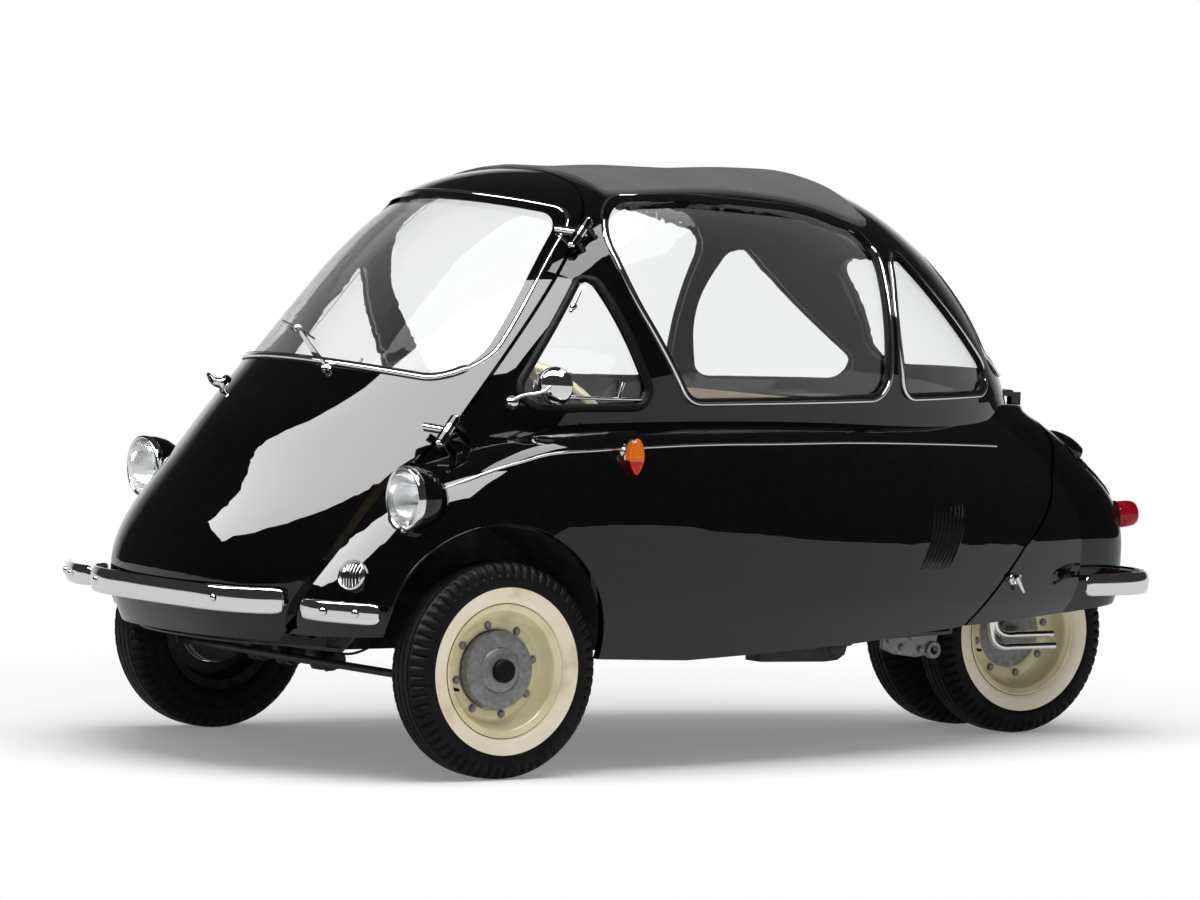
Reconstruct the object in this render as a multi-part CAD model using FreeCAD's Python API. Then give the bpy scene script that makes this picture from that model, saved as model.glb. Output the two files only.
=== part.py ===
import FreeCAD, Part
import math
import os

# Bubble car: a front-opening egg-shaped cabin car with two front wheels and a
# close-set pair of rear wheels. Millimetres, +Z up, the nose faces -Y and +X is
# the car's own left. The origin is on the floor, in the middle of the length.
# A "station" is a distance behind the front axle.

V = FreeCAD.Vector
X_AXIS = V(1, 0, 0)
Y_AXIS = V(0, 1, 0)
Z_AXIS = V(0, 0, 1)
SIDES = (("left", 1), ("right", -1))

# ---- driving dimensions -------------------------------------------------
overall_length = 2550.0
front_overhang = 520.0
wheelbase = 1760.0
track_front = 1225.0
track_rear = 220.0
front_axle_y = front_overhang - overall_length / 2
rear_axle_y = front_axle_y + wheelbase

body_wall = 22.0            # side, roof and floor-frame thickness
door_wall = 24.0
tail_wall = 13.0
panel_gap = 8.0             # shut lines
tail_gap = 11.0
seat_gap = 0.3              # soft pieces and close-fitting trim
running_gap = 0.05          # radial, shafts in their bores
belt_z = 790.0              # where cabin and lower body are joined
floor_z = 262.0
floor_thickness = 8.0

tyre_radius = 237.0
tyre_width = 112.0
rim_radius = 128.0
flange_radius = 146.5
rim_width = 92.0
rim_sheet = 5.0
drum_radius = 85.0
drum_width = 52.0
hub_radius = 47.5
cap_radius = 26.0
stub_radius = 11.0
wheel_z = tyre_radius

kingpin_offset = 78.0       # from the wheel's middle inwards
steering_arm = 130.0        # kingpin to ball joint, forwards
track_rod_below = 23.0      # its middle under the front axle's height
track_rod_z = tyre_radius - track_rod_below
arch_radius = 259.0
arch_station = -2.0
arch_z = 294.0
well_wall = 4.0

glass_thickness = 5.0
glass_depth = 8.0           # below the outer skin

# Spans past the whole car, for cutters.
ACROSS = (-760.0, 760.0)
ALONG = (-1500.0, 1500.0)
clear = 1.0                 # how far a cutter passes the face it opens

# Egg of nose and cabin, by height. Columns: height, front, widest and rear
# station, half width, front fullness (0.55 is an ellipse, 1 a square corner).
EGG = (
    (250, -455, 0, 1640, 430, 0.80),
    (340, -490, 0, 1700, 465, 0.80),
    (440, -498, 20, 1740, 490, 0.76),
    (600, -428, 80, 1770, 530, 0.58),
    (792, -282, 250, 1750, 558, 0.475),
    (892, -171, 360, 1700, 558, 0.5523),
    (1028, -44, 420, 1600, 535, 0.5523),
    (1153, 78, 480, 1460, 487, 0.5523),
    (1230, 175, 520, 1340, 430, 0.5523),
    (1280, 264, 570, 1227, 335, 0.5523),
    (1302, 335, 620, 1160, 240, 0.5523),
    (1312, 430, 680, 1040, 130, 0.5523),
)
EGG_CENTRE = (0.0, 640.0, 780.0)
EGG_HALF = (558.0, 1140.0, 532.0)
ellipse = 0.5523            # reach of the control points of a quarter ellipse
egg_shoulder = 0.7          # share of the nose's squareness kept along its sides

# Hull of wings, sides and tail, by height. Columns: height, front, widest and
# rear station, half width, half width and station of the tail's corner.
HULL = (
    (230, -350, 250, 1995, 628, 300, 1720),
    (320, -388, 250, 2012, 655, 330, 1765),
    (400, -380, 250, 2015, 668, 343, 1785),
    (480, -330, 250, 2012, 674, 345, 1785),
    (560, -270, 250, 1985, 674, 335, 1765),
    (640, -195, 270, 1915, 665, 312, 1700),
    (700, -110, 300, 1850, 644, 290, 1645),
    (740, -20, 330, 1795, 610, 270, 1595),
    (765, 80, 360, 1765, 560, 250, 1560),
    (780, 180, 400, 1745, 490, 230, 1540),
)
HULL_CENTRE = (0.0, 820.0, 400.0)
HULL_HALF = (674.0, 1200.0, 380.0)
# Reach of the hull's control points, as shares of the spans they lie on.
end_square = 0.95           # across the front and the back
wing_forward = 0.9          # along the wing
flank_share = 0.35          # along the side
flank_across = 0.4          # from the side into the tail's corner
flank_along = 0.917
corner_across = 0.12        # from the corner round to the back
corner_along = 0.55


# ---- small tools ----------------------------------------------------------
def at(x, station, z):
    return V(x, front_axle_y + station, z)


def box(x, y, z):
    """Box from three (low, high) pairs."""
    return Part.makeBox(x[1] - x[0], y[1] - y[0], z[1] - z[0], V(x[0], y[0], z[0]))


def rod(radius, start, end):
    direction = end - start
    return Part.makeCylinder(radius, direction.Length, start, direction)


def fused(shapes):
    result = shapes[0]
    if len(shapes) > 1:
        result = shapes[0].multiFuse(list(shapes[1:]))
    return result.removeSplitter()


def together(shapes):
    """Pieces that do not touch, kept in one node."""
    solids = []
    for shape in shapes:
        solids.extend(shape.Solids)
    return Part.makeCompound(solids)


def mirrored(shape):
    return shape.mirror(V(0, 0, 0), X_AXIS)


def both_sides(shape):
    return together([shape, mirrored(shape)])


def bezier(points):
    curve = Part.BezierCurve()
    curve.setPoles(list(points))
    return curve.toShape()


def polygon_face(points):
    return Part.Face(Part.makePolygon(list(points) + [points[0]]))


def rounded_face(points, radii):
    """Polygon with each corner rounded by an arc."""
    edges = []
    starts = []
    ends = []
    count = len(points)
    for i in range(count):
        corner = points[i]
        before = (points[i - 1] - corner).normalize()
        after = (points[(i + 1) % count] - corner).normalize()
        half_turn = before.getAngle(after) / 2
        reach = radii[i] / math.tan(half_turn)
        start = corner + before * reach
        end = corner + after * reach
        middle_line = (before + after).normalize()
        depth = radii[i] / math.sin(half_turn) - radii[i]
        edges.append(Part.Arc(start, corner + middle_line * depth, end).toShape())
        starts.append(start)
        ends.append(end)
    wire = []
    for i in range(count):
        wire.append(edges[i])
        following = starts[(i + 1) % count]
        if (following - ends[i]).Length > 0.01:
            wire.append(Part.makeLine(ends[i], following))
    return Part.Face(Part.Wire(wire))


def turned(profile, centre, axis):
    """Solid of revolution of (along, radius) points about an axis through centre."""
    radial = Z_AXIS if abs(axis.dot(Z_AXIS)) < 0.9 else X_AXIS
    radial = (radial - axis * radial.dot(axis)).normalize()
    points = [centre + axis * along + radial * radius for along, radius in profile]
    return polygon_face(points).revolve(centre, axis, 360)


# ---- body surfaces --------------------------------------------------------
def scaled_row(values, centre, half, inset):
    """Stations, widths and height moved inwards by about the inset."""
    x_scale = 1 - inset / half[0]
    y_scale = 1 - inset / half[1]
    z_scale = 1 - inset / half[2]
    z, stations, widths = values
    new_z = centre[2] + (z - centre[2]) * z_scale
    new_stations = [centre[1] + (s - centre[1]) * y_scale for s in stations]
    new_widths = [w * x_scale for w in widths]
    return new_z, new_stations, new_widths


def egg_wire(row, inset):
    z, front, wide, rear, half_width, fullness = row
    values = (z, (front, wide, rear), (half_width,))
    z, (front, wide, rear), (half_width,) = scaled_row(values, EGG_CENTRE, EGG_HALF, inset)
    side_fullness = ellipse + (fullness - ellipse) * egg_shoulder
    front_side = wide - side_fullness * (wide - front)
    rear_side = wide + ellipse * (rear - wide)
    edges = []
    for s, forward in ((1, True), (-1, False)):
        nose = [at(0, front, z), at(s * fullness * half_width, front, z),
                at(s * half_width, front_side, z), at(s * half_width, wide, z)]
        stern = [at(s * half_width, wide, z), at(s * half_width, rear_side, z),
                 at(s * ellipse * half_width, rear, z), at(0, rear, z)]
        curves = [nose, stern] if forward else [stern[::-1], nose[::-1]]
        edges.extend(bezier(points) for points in curves)
    return Part.Wire(edges)


def hull_wire(row, inset):
    z, front, wide, rear, half_width, corner_x, corner_station = row
    values = (z, (front, wide, rear, corner_station), (half_width, corner_x))
    z, stations, widths = scaled_row(values, HULL_CENTRE, HULL_HALF, inset)
    front, wide, rear, corner_station = stations
    half_width, corner_x = widths
    flank = flank_share * (corner_station - wide)
    tail = rear - corner_station
    edges = []
    for s, forward in ((1, True), (-1, False)):
        nose = [at(0, front, z), at(s * end_square * half_width, front, z),
                at(s * half_width, wide - wing_forward * (wide - front), z), at(s * half_width, wide, z)]
        side = [at(s * half_width, wide, z), at(s * half_width, wide + flank, z),
                at(s * (corner_x + flank_across * flank), corner_station - flank_along * flank, z),
                at(s * corner_x, corner_station, z)]
        stern = [at(s * corner_x, corner_station, z),
                 at(s * (corner_x - corner_across * tail), corner_station + corner_along * tail, z),
                 at(s * end_square * corner_x, rear, z), at(0, rear, z)]
        curves = [nose, side, stern]
        if not forward:
            curves = [points[::-1] for points in curves[::-1]]
        edges.extend(bezier(points) for points in curves)
    return Part.Wire(edges)


def egg(inset=0.0):
    return Part.makeLoft([egg_wire(row, inset) for row in EGG], True)


def hull(inset=0.0):
    return Part.makeLoft([hull_wire(row, inset) for row in HULL], True)


def side_prism(face, low=ACROSS[0], high=ACROSS[1]):
    """Extrude a face drawn in the plane x = 0 across the car."""
    moved = face.copy()
    moved.translate(V(low, 0, 0))
    return moved.extrude(V(high - low, 0, 0))


# Shut line of the door in side view: a straight upper run and a bowed lower run.
# Columns: station, height.
DOOR_TOP = (432, 1328)
DOOR_KNEE = (-28, 763)
DOOR_BOW = (-225, 560)
DOOR_FOOT = (-381, 296)
door_bottom_z = 286.0
ahead_station = -900.0      # past the nose


def door_face(shift):
    """Side view of the door's side of the shut line, moved back by shift."""
    foot = at(0, DOOR_FOOT[0] + shift, DOOR_FOOT[1])
    knee = at(0, DOOR_KNEE[0] + shift, DOOR_KNEE[1])
    bow = at(0, DOOR_BOW[0] + shift, DOOR_BOW[1])
    top = at(0, DOOR_TOP[0] + shift, DOOR_TOP[1])
    bottom = door_bottom_z - shift
    below = at(0, DOOR_FOOT[0] + shift, bottom)
    corners = [top, at(0, ahead_station, DOOR_TOP[1]), at(0, ahead_station, bottom), below, foot]
    edges = [Part.Arc(foot, bow, knee).toShape(), Part.makeLine(knee, top)]
    for i in range(len(corners) - 1):
        edges.append(Part.makeLine(corners[i], corners[i + 1]))
    return Part.Face(Part.Wire(Part.__sortEdges__(edges)))


# Shut line of the tail cover in side view. Columns: station, height.
TAIL_LINE = ((1364, 240), (1364, 280), (1560, 466), (1690, 580), (1752, 690), (1752, 840))
behind_station = 2300.0     # past the tail


def tail_face(shift):
    """Side view of the tail cover's side of its shut line, moved back by shift."""
    line = [at(0, station + shift, z) for station, z in TAIL_LINE]
    high = at(0, behind_station, TAIL_LINE[5][1])
    low = at(0, behind_station, TAIL_LINE[0][1])
    edges = [Part.makeLine(line[0], line[1]),
             Part.makeLine(line[1], line[2]),
             Part.Arc(line[2], line[3], line[4]).toShape(),
             Part.makeLine(line[4], line[5]),
             Part.makeLine(line[5], high),
             Part.makeLine(high, low),
             Part.makeLine(low, line[0])]
    return Part.Face(Part.Wire(edges))


# Lower edge of sills and tail in side view. Columns: station, height.
SILL_LINE = ((-520, 298), (-340, 304), (-240, 312), (150, 312), (241, 255), (495, 245),
             (980, 263), (1362, 288), (1763, 299), (1945, 313), (2100, 330))
below_z = 100.0


def below_sills():
    points = [at(0, station, z) for station, z in SILL_LINE]
    points += [at(0, SILL_LINE[-1][0], below_z), at(0, SILL_LINE[0][0], below_z)]
    return side_prism(polygon_face(points))


# Window outlines in side view, inside their seals. Columns: station, height, corner radius.
MAIN_WINDOW = ((352, 1246, 98), (622, 1254, 500), (955, 1229, 500), (1170, 1168, 90), (1136, 812, 60),
               (538, 812, 55), (392, 1050, 350))
VENT_WINDOW = ((302, 1099, 26), (438, 805, 32), (88, 805, 34))
QUARTER_WINDOW = ((1228, 1156, 34), (1606, 812, 42), (1200, 812, 40), (1180, 985, 350))
# Windscreen outline in front view. Columns: half width, height, corner radius.
SCREEN = ((366, 1214, 88), (446, 848, 66))
screen_top_bow = 44.0       # reach of the upper edge's middle control points
screen_low_bow = 50.0       # and of the lower edge's, both upwards
screen_side = (432, 1030)   # half width and height of the middle of each side
SCREEN_SPAN = (-700.0, 450.0)   # stations between which its opening is cut
# Rear window outline in rear view. Columns: half width, height, corner radius.
REAR_WINDOW = ((186, 1112, 60), (236, 852, 55))
REAR_WINDOW_SPAN = (1380.0, 1900.0)
side_window_inner_x = 40.0


def side_window_prism(outline, side):
    points = [at(0, station, z) for station, z, _ in outline]
    face = rounded_face(points, [radius for _, _, radius in outline])
    low, high = (side_window_inner_x, ACROSS[1]) if side > 0 else (ACROSS[0], -side_window_inner_x)
    return side_prism(face, low, high)


def end_window_prism(outline, span):
    points = []
    radii = []
    for s in (1, -1):
        rows = outline if s > 0 else outline[::-1]
        for half_width, z, radius in rows:
            points.append(V(s * half_width, 0, z))
            radii.append(radius)
    face = rounded_face(points, radii)
    face.translate(at(0, span[0], 0))
    return face.extrude(V(0, span[1] - span[0], 0))


def long_edges(prism, length):
    """Edges that run the whole length of a prism drawn along the car."""
    return [edge for edge in prism.Edges
            if edge.BoundBox.YLength > length - clear and edge.BoundBox.XLength < clear
            and edge.BoundBox.ZLength < clear]


def screen_prism():
    """Windscreen opening: upper and lower edges bowed, corners rounded."""
    (top_half, top_z, top_radius), (low_half, low_z, low_radius) = SCREEN
    top = bezier([V(top_half, 0, top_z), V(top_half / 2, 0, top_z + screen_top_bow),
                  V(-top_half / 2, 0, top_z + screen_top_bow), V(-top_half, 0, top_z)])
    low = bezier([V(-low_half, 0, low_z), V(-low_half / 2, 0, low_z + screen_low_bow),
                  V(low_half / 2, 0, low_z + screen_low_bow), V(low_half, 0, low_z)])
    side_half, side_z = screen_side
    left = Part.Arc(V(-top_half, 0, top_z), V(-side_half, 0, side_z), V(-low_half, 0, low_z)).toShape()
    right = Part.Arc(V(low_half, 0, low_z), V(side_half, 0, side_z), V(top_half, 0, top_z)).toShape()
    face = Part.Face(Part.Wire([top, left, low, right]))
    length = SCREEN_SPAN[1] - SCREEN_SPAN[0]
    face.translate(at(0, SCREEN_SPAN[0], 0))
    prism = face.extrude(V(0, length, 0))
    top_edges = [edge for edge in long_edges(prism, length) if edge.BoundBox.ZMin > side_z]
    prism = prism.makeFillet(top_radius, top_edges)
    low_edges = [edge for edge in long_edges(prism, length) if edge.BoundBox.ZMax < low_z + clear]
    return prism.makeFillet(low_radius, low_edges)


# ---- body ------------------------------------------------------------------
OUTER_EGG = egg()
OUTER_HULL = hull()
DOOR_SIDE = side_prism(door_face(0))
DOOR_SIDE_WIDE = side_prism(door_face(panel_gap))
TAIL_SIDE = side_prism(tail_face(0))
TAIL_SIDE_WIDE = side_prism(tail_face(-tail_gap))
BELOW = below_sills()
ABOVE_BELT = box(ACROSS, ALONG, (belt_z, ALONG[1]))
MAIN_CUTS = [side_window_prism(MAIN_WINDOW, side) for _, side in SIDES]
VENT_CUTS = [side_window_prism(VENT_WINDOW, side) for _, side in SIDES]
QUARTER_CUTS = [side_window_prism(QUARTER_WINDOW, side) for _, side in SIDES]
REAR_CUT = end_window_prism(REAR_WINDOW, REAR_WINDOW_SPAN)
SCREEN_CUT = screen_prism()
roof_opening = (430.0, 1120.0, 250.0)       # front and rear station, half width
roof_opening_corner = 60.0
ROOF_OPENING_Z = (1200.0, 1400.0)
arch_cut_reach = 400.0
wing_wall_thickness = 8.0


def arch_cutters(radius, inner_x, station, z):
    cutters = []
    for _, side in SIDES:
        start = at(side * inner_x, station, z)
        cutters.append(rod(radius, start, start + V(side * arch_cut_reach, 0, 0)))
    return cutters


def cabin_shell():
    shell = OUTER_EGG.cut(egg(body_wall)).common(ABOVE_BELT).cut(DOOR_SIDE_WIDE)
    front, rear, half_width = roof_opening
    low_z, high_z = ROOF_OPENING_Z
    corners = [at(half_width, front, low_z), at(half_width, rear, low_z),
               at(-half_width, rear, low_z), at(-half_width, front, low_z)]
    sunroof = rounded_face(corners, [roof_opening_corner] * 4).extrude(V(0, 0, high_z - low_z))
    for cutter in MAIN_CUTS + VENT_CUTS + QUARTER_CUTS + [REAR_CUT, sunroof]:
        shell = shell.cut(cutter)
    return fused([shell] + tail_hinge_lugs())


well_radius = 288.0
well_station = 0.0
well_height = 262.0
well_inner_x = 394.0


def lower_body():
    outer = OUTER_EGG.fuse(OUTER_HULL)
    inner = egg(body_wall).fuse(hull(body_wall))
    shell = outer.cut(inner).cut(ABOVE_BELT)
    shell = shell.cut(egg(-panel_gap).common(DOOR_SIDE_WIDE))
    # inboard wall of each front wing, beside the door
    wing_wall = egg(-panel_gap - wing_wall_thickness).cut(egg(-panel_gap))
    shell = shell.fuse(wing_wall.common(DOOR_SIDE_WIDE).common(OUTER_HULL))
    for cutter in arch_cutters(arch_radius, well_inner_x, arch_station, arch_z) + lamp_pockets():
        shell = shell.cut(cutter)
    shell = shell.cut(TAIL_SIDE_WIDE).cut(BELOW)
    return shell.removeSplitter()


tail_hinge_station = 1766.0
tail_hinge_z = 800.0
tail_hinge_x = 62.0
tail_pin_radius = 4.0
tail_eye_radius = 8.0
tail_eye_width = 20.0
eye_gap = 0.3
lug_thickness = 7.0
lug_half_height = 7.0
lug_reach = 40.0            # forwards, into the cabin's skin
lug_sink = 2.0
strap_reach = 34.0          # from the pin's axis back, down and up
strap_below = 62.0
strap_above = 2.0
relief_back = 8.0           # clears the lugs when the cover swings
relief_below = 6.0
relief_depth = 100.0
tail_bore_reach = 40.0


def tail_hinge_lugs():
    """Pins and forked lugs on the deck that carry the tail cover."""
    lugs = []
    for _, side in SIDES:
        for step in (-1, 1):
            near = side * tail_hinge_x + step * (tail_eye_width / 2 + eye_gap)
            far = near + step * lug_thickness
            centre = at(0, tail_hinge_station, tail_hinge_z)
            eye = rod(tail_eye_radius, V(near, centre.y, centre.z), V(far, centre.y, centre.z))
            leg = box(sorted((near, far)), (centre.y - lug_reach, centre.y),
                      (tail_hinge_z - lug_half_height, tail_hinge_z + lug_half_height))
            lugs.append(fused([eye, leg.cut(egg(lug_sink))]))
        reach = tail_eye_width / 2 + eye_gap + lug_thickness
        lugs.append(rod(tail_pin_radius, at(side * tail_hinge_x - reach, tail_hinge_station, tail_hinge_z),
                        at(side * tail_hinge_x + reach, tail_hinge_station, tail_hinge_z)))
    return lugs


def tail_hinge_eyes():
    """Bored eyes on the front edge of the tail cover."""
    eyes = []
    half = tail_eye_width / 2
    for _, side in SIDES:
        centre = at(side * tail_hinge_x, tail_hinge_station, tail_hinge_z)
        eye = rod(tail_eye_radius, centre - X_AXIS * half, centre + X_AXIS * half)
        strap = box((centre.x - half, centre.x + half), (centre.y, centre.y + strap_reach),
                    (centre.z - strap_below, centre.z + strap_above))
        relief = box((centre.x - half - clear, centre.x + half + clear),
                     (centre.y - clear, centre.y + relief_back),
                     (centre.z - relief_depth, centre.z - relief_below))
        eye = fused([eye, strap.cut(relief)])
        bore = rod(tail_pin_radius + running_gap, centre - X_AXIS * tail_bore_reach,
                   centre + X_AXIS * tail_bore_reach)
        eyes.append(eye.cut(bore))
    return eyes


jack_x = 540.0
jack_station = 640.0
jack_radius = 12.5
jack_wall = 6.0
jack_drop = 20.0            # below the floor pan
pan_low = floor_z + 6.0
pan_high = pan_low + floor_thickness
PAN_SPAN = (-600.0, 1350.0)
well_reach = 700.0


def floor_outline(inset):
    return egg(inset).fuse(hull(inset))


def floor_pan():
    inside = floor_outline(body_wall)
    slab = box(ACROSS, (front_axle_y + PAN_SPAN[0], front_axle_y + PAN_SPAN[1]), (pan_low, pan_high))
    pan = slab.common(inside)
    for cutter in arch_cutters(well_radius + well_wall + seat_gap, well_inner_x - well_wall - seat_gap,
                               well_station, well_height):
        pan = pan.cut(cutter)
    sockets = []
    for _, side in SIDES:
        mouth = at(side * jack_x, jack_station, pan_low - jack_drop)
        sockets.append(rod(jack_radius + jack_wall, mouth, mouth + Z_AXIS * (jack_drop + floor_thickness)))
    pan = fused([pan] + sockets)
    for _, side in SIDES:
        low = at(side * jack_x, jack_station, pan_low - jack_drop - clear)
        high = at(side * jack_x, jack_station, pan_high + clear)
        pan = pan.cut(rod(jack_radius, low, high))
    return pan


def wheel_wells():
    inside = floor_outline(body_wall + seat_gap)
    wells = []
    for _, side in SIDES:
        middle = at(0, well_station, well_height)
        outer = rod(well_radius + well_wall, middle + V(side * (well_inner_x - well_wall), 0, 0),
                    middle + V(side * well_reach, 0, 0))
        hollow = rod(well_radius, middle + V(side * well_inner_x, 0, 0),
                     middle + V(side * (well_reach + clear), 0, 0))
        well = outer.cut(hollow).common(inside)
        well = well.cut(box(ACROSS, ALONG, (0, pan_low)))
        wells.append(max(well.Solids, key=lambda solid: solid.Volume))
    return together(wells)


def tail_cover():
    shell = OUTER_EGG.fuse(OUTER_HULL).cut(hull(tail_wall)).cut(ABOVE_BELT)
    shell = shell.common(TAIL_SIDE).cut(BELOW)
    for _, side in SIDES:
        start = at(side * plate_spacing / 2, PLATE_HOLE_SPAN[0], plate_z)
        end = at(side * plate_spacing / 2, PLATE_HOLE_SPAN[1], plate_z)
        shell = shell.cut(rod(plate_hole_radius, start, end))
    eyes = [eye.cut(hull(tail_wall)) for eye in tail_hinge_eyes()]
    return fused([shell] + eyes)


plate_spacing = 180.0
plate_z = 450.0
plate_hole_radius = 3.25
PLATE_HOLE_SPAN = (1900.0, 2100.0)


def front_door():
    shell = OUTER_EGG.cut(egg(door_wall)).common(DOOR_SIDE).cut(hull(-panel_gap))
    shell = shell.cut(SCREEN_CUT)
    return max(shell.Solids, key=lambda solid: solid.Volume)


GLASS_LAYER = egg(glass_depth).cut(egg(glass_depth + glass_thickness))


def glazing(cutters):
    return together([GLASS_LAYER.common(cutter) for cutter in cutters])


cloth_thickness = 8.0
cover_front_lap = 10.0      # of the cloth past the opening
cover_rear_lap = 62.0
cover_front_side_lap = 130.0
cover_rear_side_lap = 80.0
cover_corner = 70.0
COVER_Z = (1150.0, 1450.0)


def fabric_roof():
    """Closed fabric roof, drawn over the frame from the door's header to the rear."""
    front, rear, half_width = roof_opening
    low_z, high_z = COVER_Z
    front_half = half_width + cover_front_side_lap
    rear_half = half_width + cover_rear_side_lap
    corners = [at(front_half, front - cover_front_lap, low_z), at(rear_half, rear + cover_rear_lap, low_z),
               at(-rear_half, rear + cover_rear_lap, low_z), at(-front_half, front - cover_front_lap, low_z)]
    cover = rounded_face(corners, [cover_corner] * 4).extrude(V(0, 0, high_z - low_z))
    layer = egg(-cloth_thickness).cut(egg(-seat_gap))
    return layer.common(cover).cut(DOOR_SIDE_WIDE)


# ---- lamps, bumpers and fittings on the body ---------------------------------
lamp_x, lamp_station, lamp_z = 572.0, -206.0, 608.0
lens_radius = 62.0
lamp_rim_radius = 71.0
lamp_depth = 120.0
lamp_seat = 10.0            # how deep the lamp's rim sits in the wing, behind its lens
pocket_depth = 60.0
# Half sections of the bowl and the lens. Columns: distance back, radius.
BOWL = ((0, 0), (0, lens_radius), (-9, lens_radius + 2), (-13, lamp_rim_radius - 3),
        (-6, lamp_rim_radius), (10, lamp_rim_radius - 2), (lamp_depth * 0.42, lens_radius),
        (lamp_depth * 0.75, lens_radius * 0.68), (lamp_depth, 0))
LENS = ((0, 0), (0, lens_radius), (-8, lens_radius), (-18, lens_radius * 0.7),
        (-24, lens_radius * 0.35), (-26, 0))


def lamp_pockets():
    """Round seats for the headlamps in the tops of the wings."""
    pockets = []
    for _, side in SIDES:
        bottom = at(side * lamp_x, lamp_station + lamp_seat, lamp_z)
        pockets.append(rod(lamp_rim_radius + seat_gap, bottom, bottom - Y_AXIS * pocket_depth))
    return pockets


def headlamps():
    """Chrome bowls with a recess for the lens, faired into the wings."""
    bowls = []
    wing = OUTER_HULL.cut(together(lamp_pockets()))
    for _, side in SIDES:
        bowl = turned(BOWL, at(side * lamp_x, lamp_station, lamp_z), Y_AXIS)
        bowl = bowl.cut(wing).cut(OUTER_EGG)
        bowls.append(max(bowl.Solids, key=lambda solid: solid.Volume))
    return together(bowls)


def headlamp_lenses():
    return together([turned(LENS, at(side * lamp_x, lamp_station, lamp_z), Y_AXIS)
                     for _, side in SIDES])


GRILLE_AT = (524, -308, 440)
GRILLE_AXIS = V(-0.12, 0.95, -0.3).normalize()
grille_radius = 34.0
# Half section. Columns: distance back, radius.
GRILLE = ((-16, 0), (-14, grille_radius * 0.5), (-6, grille_radius - 4), (2, grille_radius),
          (60, grille_radius), (60, 0))


def horn_grille():
    """One round grille, on the left wing only."""
    grille = turned(GRILLE, at(*GRILLE_AT), GRILLE_AXIS).cut(OUTER_HULL)
    return max(grille.Solids, key=lambda solid: solid.Volume)


indicator_station = 322.0
indicator_z = 700.0
indicator_inner_x = 600.0
indicator_depth = 82.0
# Outline round its middle. Columns: station, height, corner radius.
INDICATOR = ((-22, 40, 18), (22, 40, 18), (12, -42, 11), (-12, -42, 11))


def side_indicators():
    """Teardrop lamps below the windows."""
    lamps = []
    for _, side in SIDES:
        points = [at(side * indicator_inner_x, indicator_station + station, indicator_z + z)
                  for station, z, _ in INDICATOR]
        outline = rounded_face(points, [radius for _, _, radius in INDICATOR])
        body = outline.extrude(V(side * indicator_depth, 0, 0))
        lamp = body.cut(OUTER_HULL)
        lamps.append(max(lamp.Solids, key=lambda solid: solid.Volume))
    return together(lamps)


centre_bumper_plan = ((-398, -400), (-352, -468), (-262, -510), (0, -front_overhang), (262, -510),
                      (352, -468), (398, -400))
bumper_low_z = 348.0
bumper_high_z = 405.0
bumper_depth = 14.0
iron_half_width = 14.0
# Brackets behind the bars. Columns: x, front and rear station.
CENTRE_IRONS = ((-300, -495, -380), (300, -495, -380))
CENTRE_IRON_Z = (362.0, 391.0)


def strip_between(outer_plan, depth, z_low, z_high):
    """Curved bar of even thickness between two arcs that share their centre."""
    solids = []
    for i in range(0, len(outer_plan) - 2, 2):
        start, middle, end = [at(x, station, z_low) for x, station in outer_plan[i:i + 3]]
        arc = Part.Arc(start, middle, end).toShape()
        centre = arc.Curve.Center
        radius = arc.Curve.Radius
        shrink = (radius - depth) / radius
        inner = [centre + (point - centre) * shrink for point in (start, middle, end)]
        wire = Part.Wire([arc, Part.makeLine(end, inner[2]),
                          Part.Arc(inner[2], inner[1], inner[0]).toShape(),
                          Part.makeLine(inner[0], start)])
        solids.append(Part.Face(wire).extrude(V(0, 0, z_high - z_low)))
    return fused(solids)


def bumper_irons(places, heights, surface):
    """Short brackets from a bar back to the panel behind it."""
    irons = [box((x - iron_half_width, x + iron_half_width),
                 (front_axle_y + start, front_axle_y + end), heights)
             for x, start, end in places]
    return [min(iron.cut(surface).Solids, key=lambda solid: solid.CenterOfMass.y) for iron in irons]


def centre_bumper():
    bar_solid = strip_between(centre_bumper_plan, bumper_depth, bumper_low_z, bumper_high_z)
    irons = bumper_irons(CENTRE_IRONS, CENTRE_IRON_Z, OUTER_EGG)
    return fused([bar_solid] + irons)


corner_bumper_plan = ((458, -409), (588, -393), (690, -336))
CORNER_BAR_Z = (345.0, 391.0)
CORNER_IRONS = ((540, -394, -290),)
CORNER_IRON_Z = (354.0, 382.0)


def front_corner_bumpers():
    bar_solid = strip_between(corner_bumper_plan, bumper_depth, *CORNER_BAR_Z)
    irons = bumper_irons(CORNER_IRONS, CORNER_IRON_Z, OUTER_HULL)
    return both_sides(fused([bar_solid] + irons))


rear_end = overall_length - front_overhang
rear_bumper_plan = ((396, 1762), (362, 1952), (250, rear_end - 6), (185, rear_end - 2), (120, rear_end))
REAR_BAR_Z = (342.0, 394.0)
REAR_IRON_Z = (348.0, 374.0)
# Brackets behind the rear bars. Columns: x from and to, station from and to.
REAR_IRONS = ((150, 178, 1990, rear_end - 8), (290, 394, 1850, 1878))


def rear_bumpers():
    bar_solid = strip_between(rear_bumper_plan, bumper_depth, *REAR_BAR_Z)
    irons = [box((inner, outer), (front_axle_y + start, front_axle_y + end), REAR_IRON_Z)
             for inner, outer, start, end in REAR_IRONS]
    irons = [max(iron.cut(OUTER_HULL).Solids, key=lambda solid: solid.CenterOfMass.y + solid.CenterOfMass.x)
             for iron in irons]
    return both_sides(fused([bar_solid] + irons))


TAIL_LAMP_AT = (242, 1948, 519)
TAIL_LAMP_AXIS = V(0.42, 0.9, 0.12).normalize()
# Half section. Columns: distance out, radius.
TAIL_LAMP = ((0, 0), (0, 34), (46, 34), (58, 29), (66, 18), (69, 0))


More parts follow.
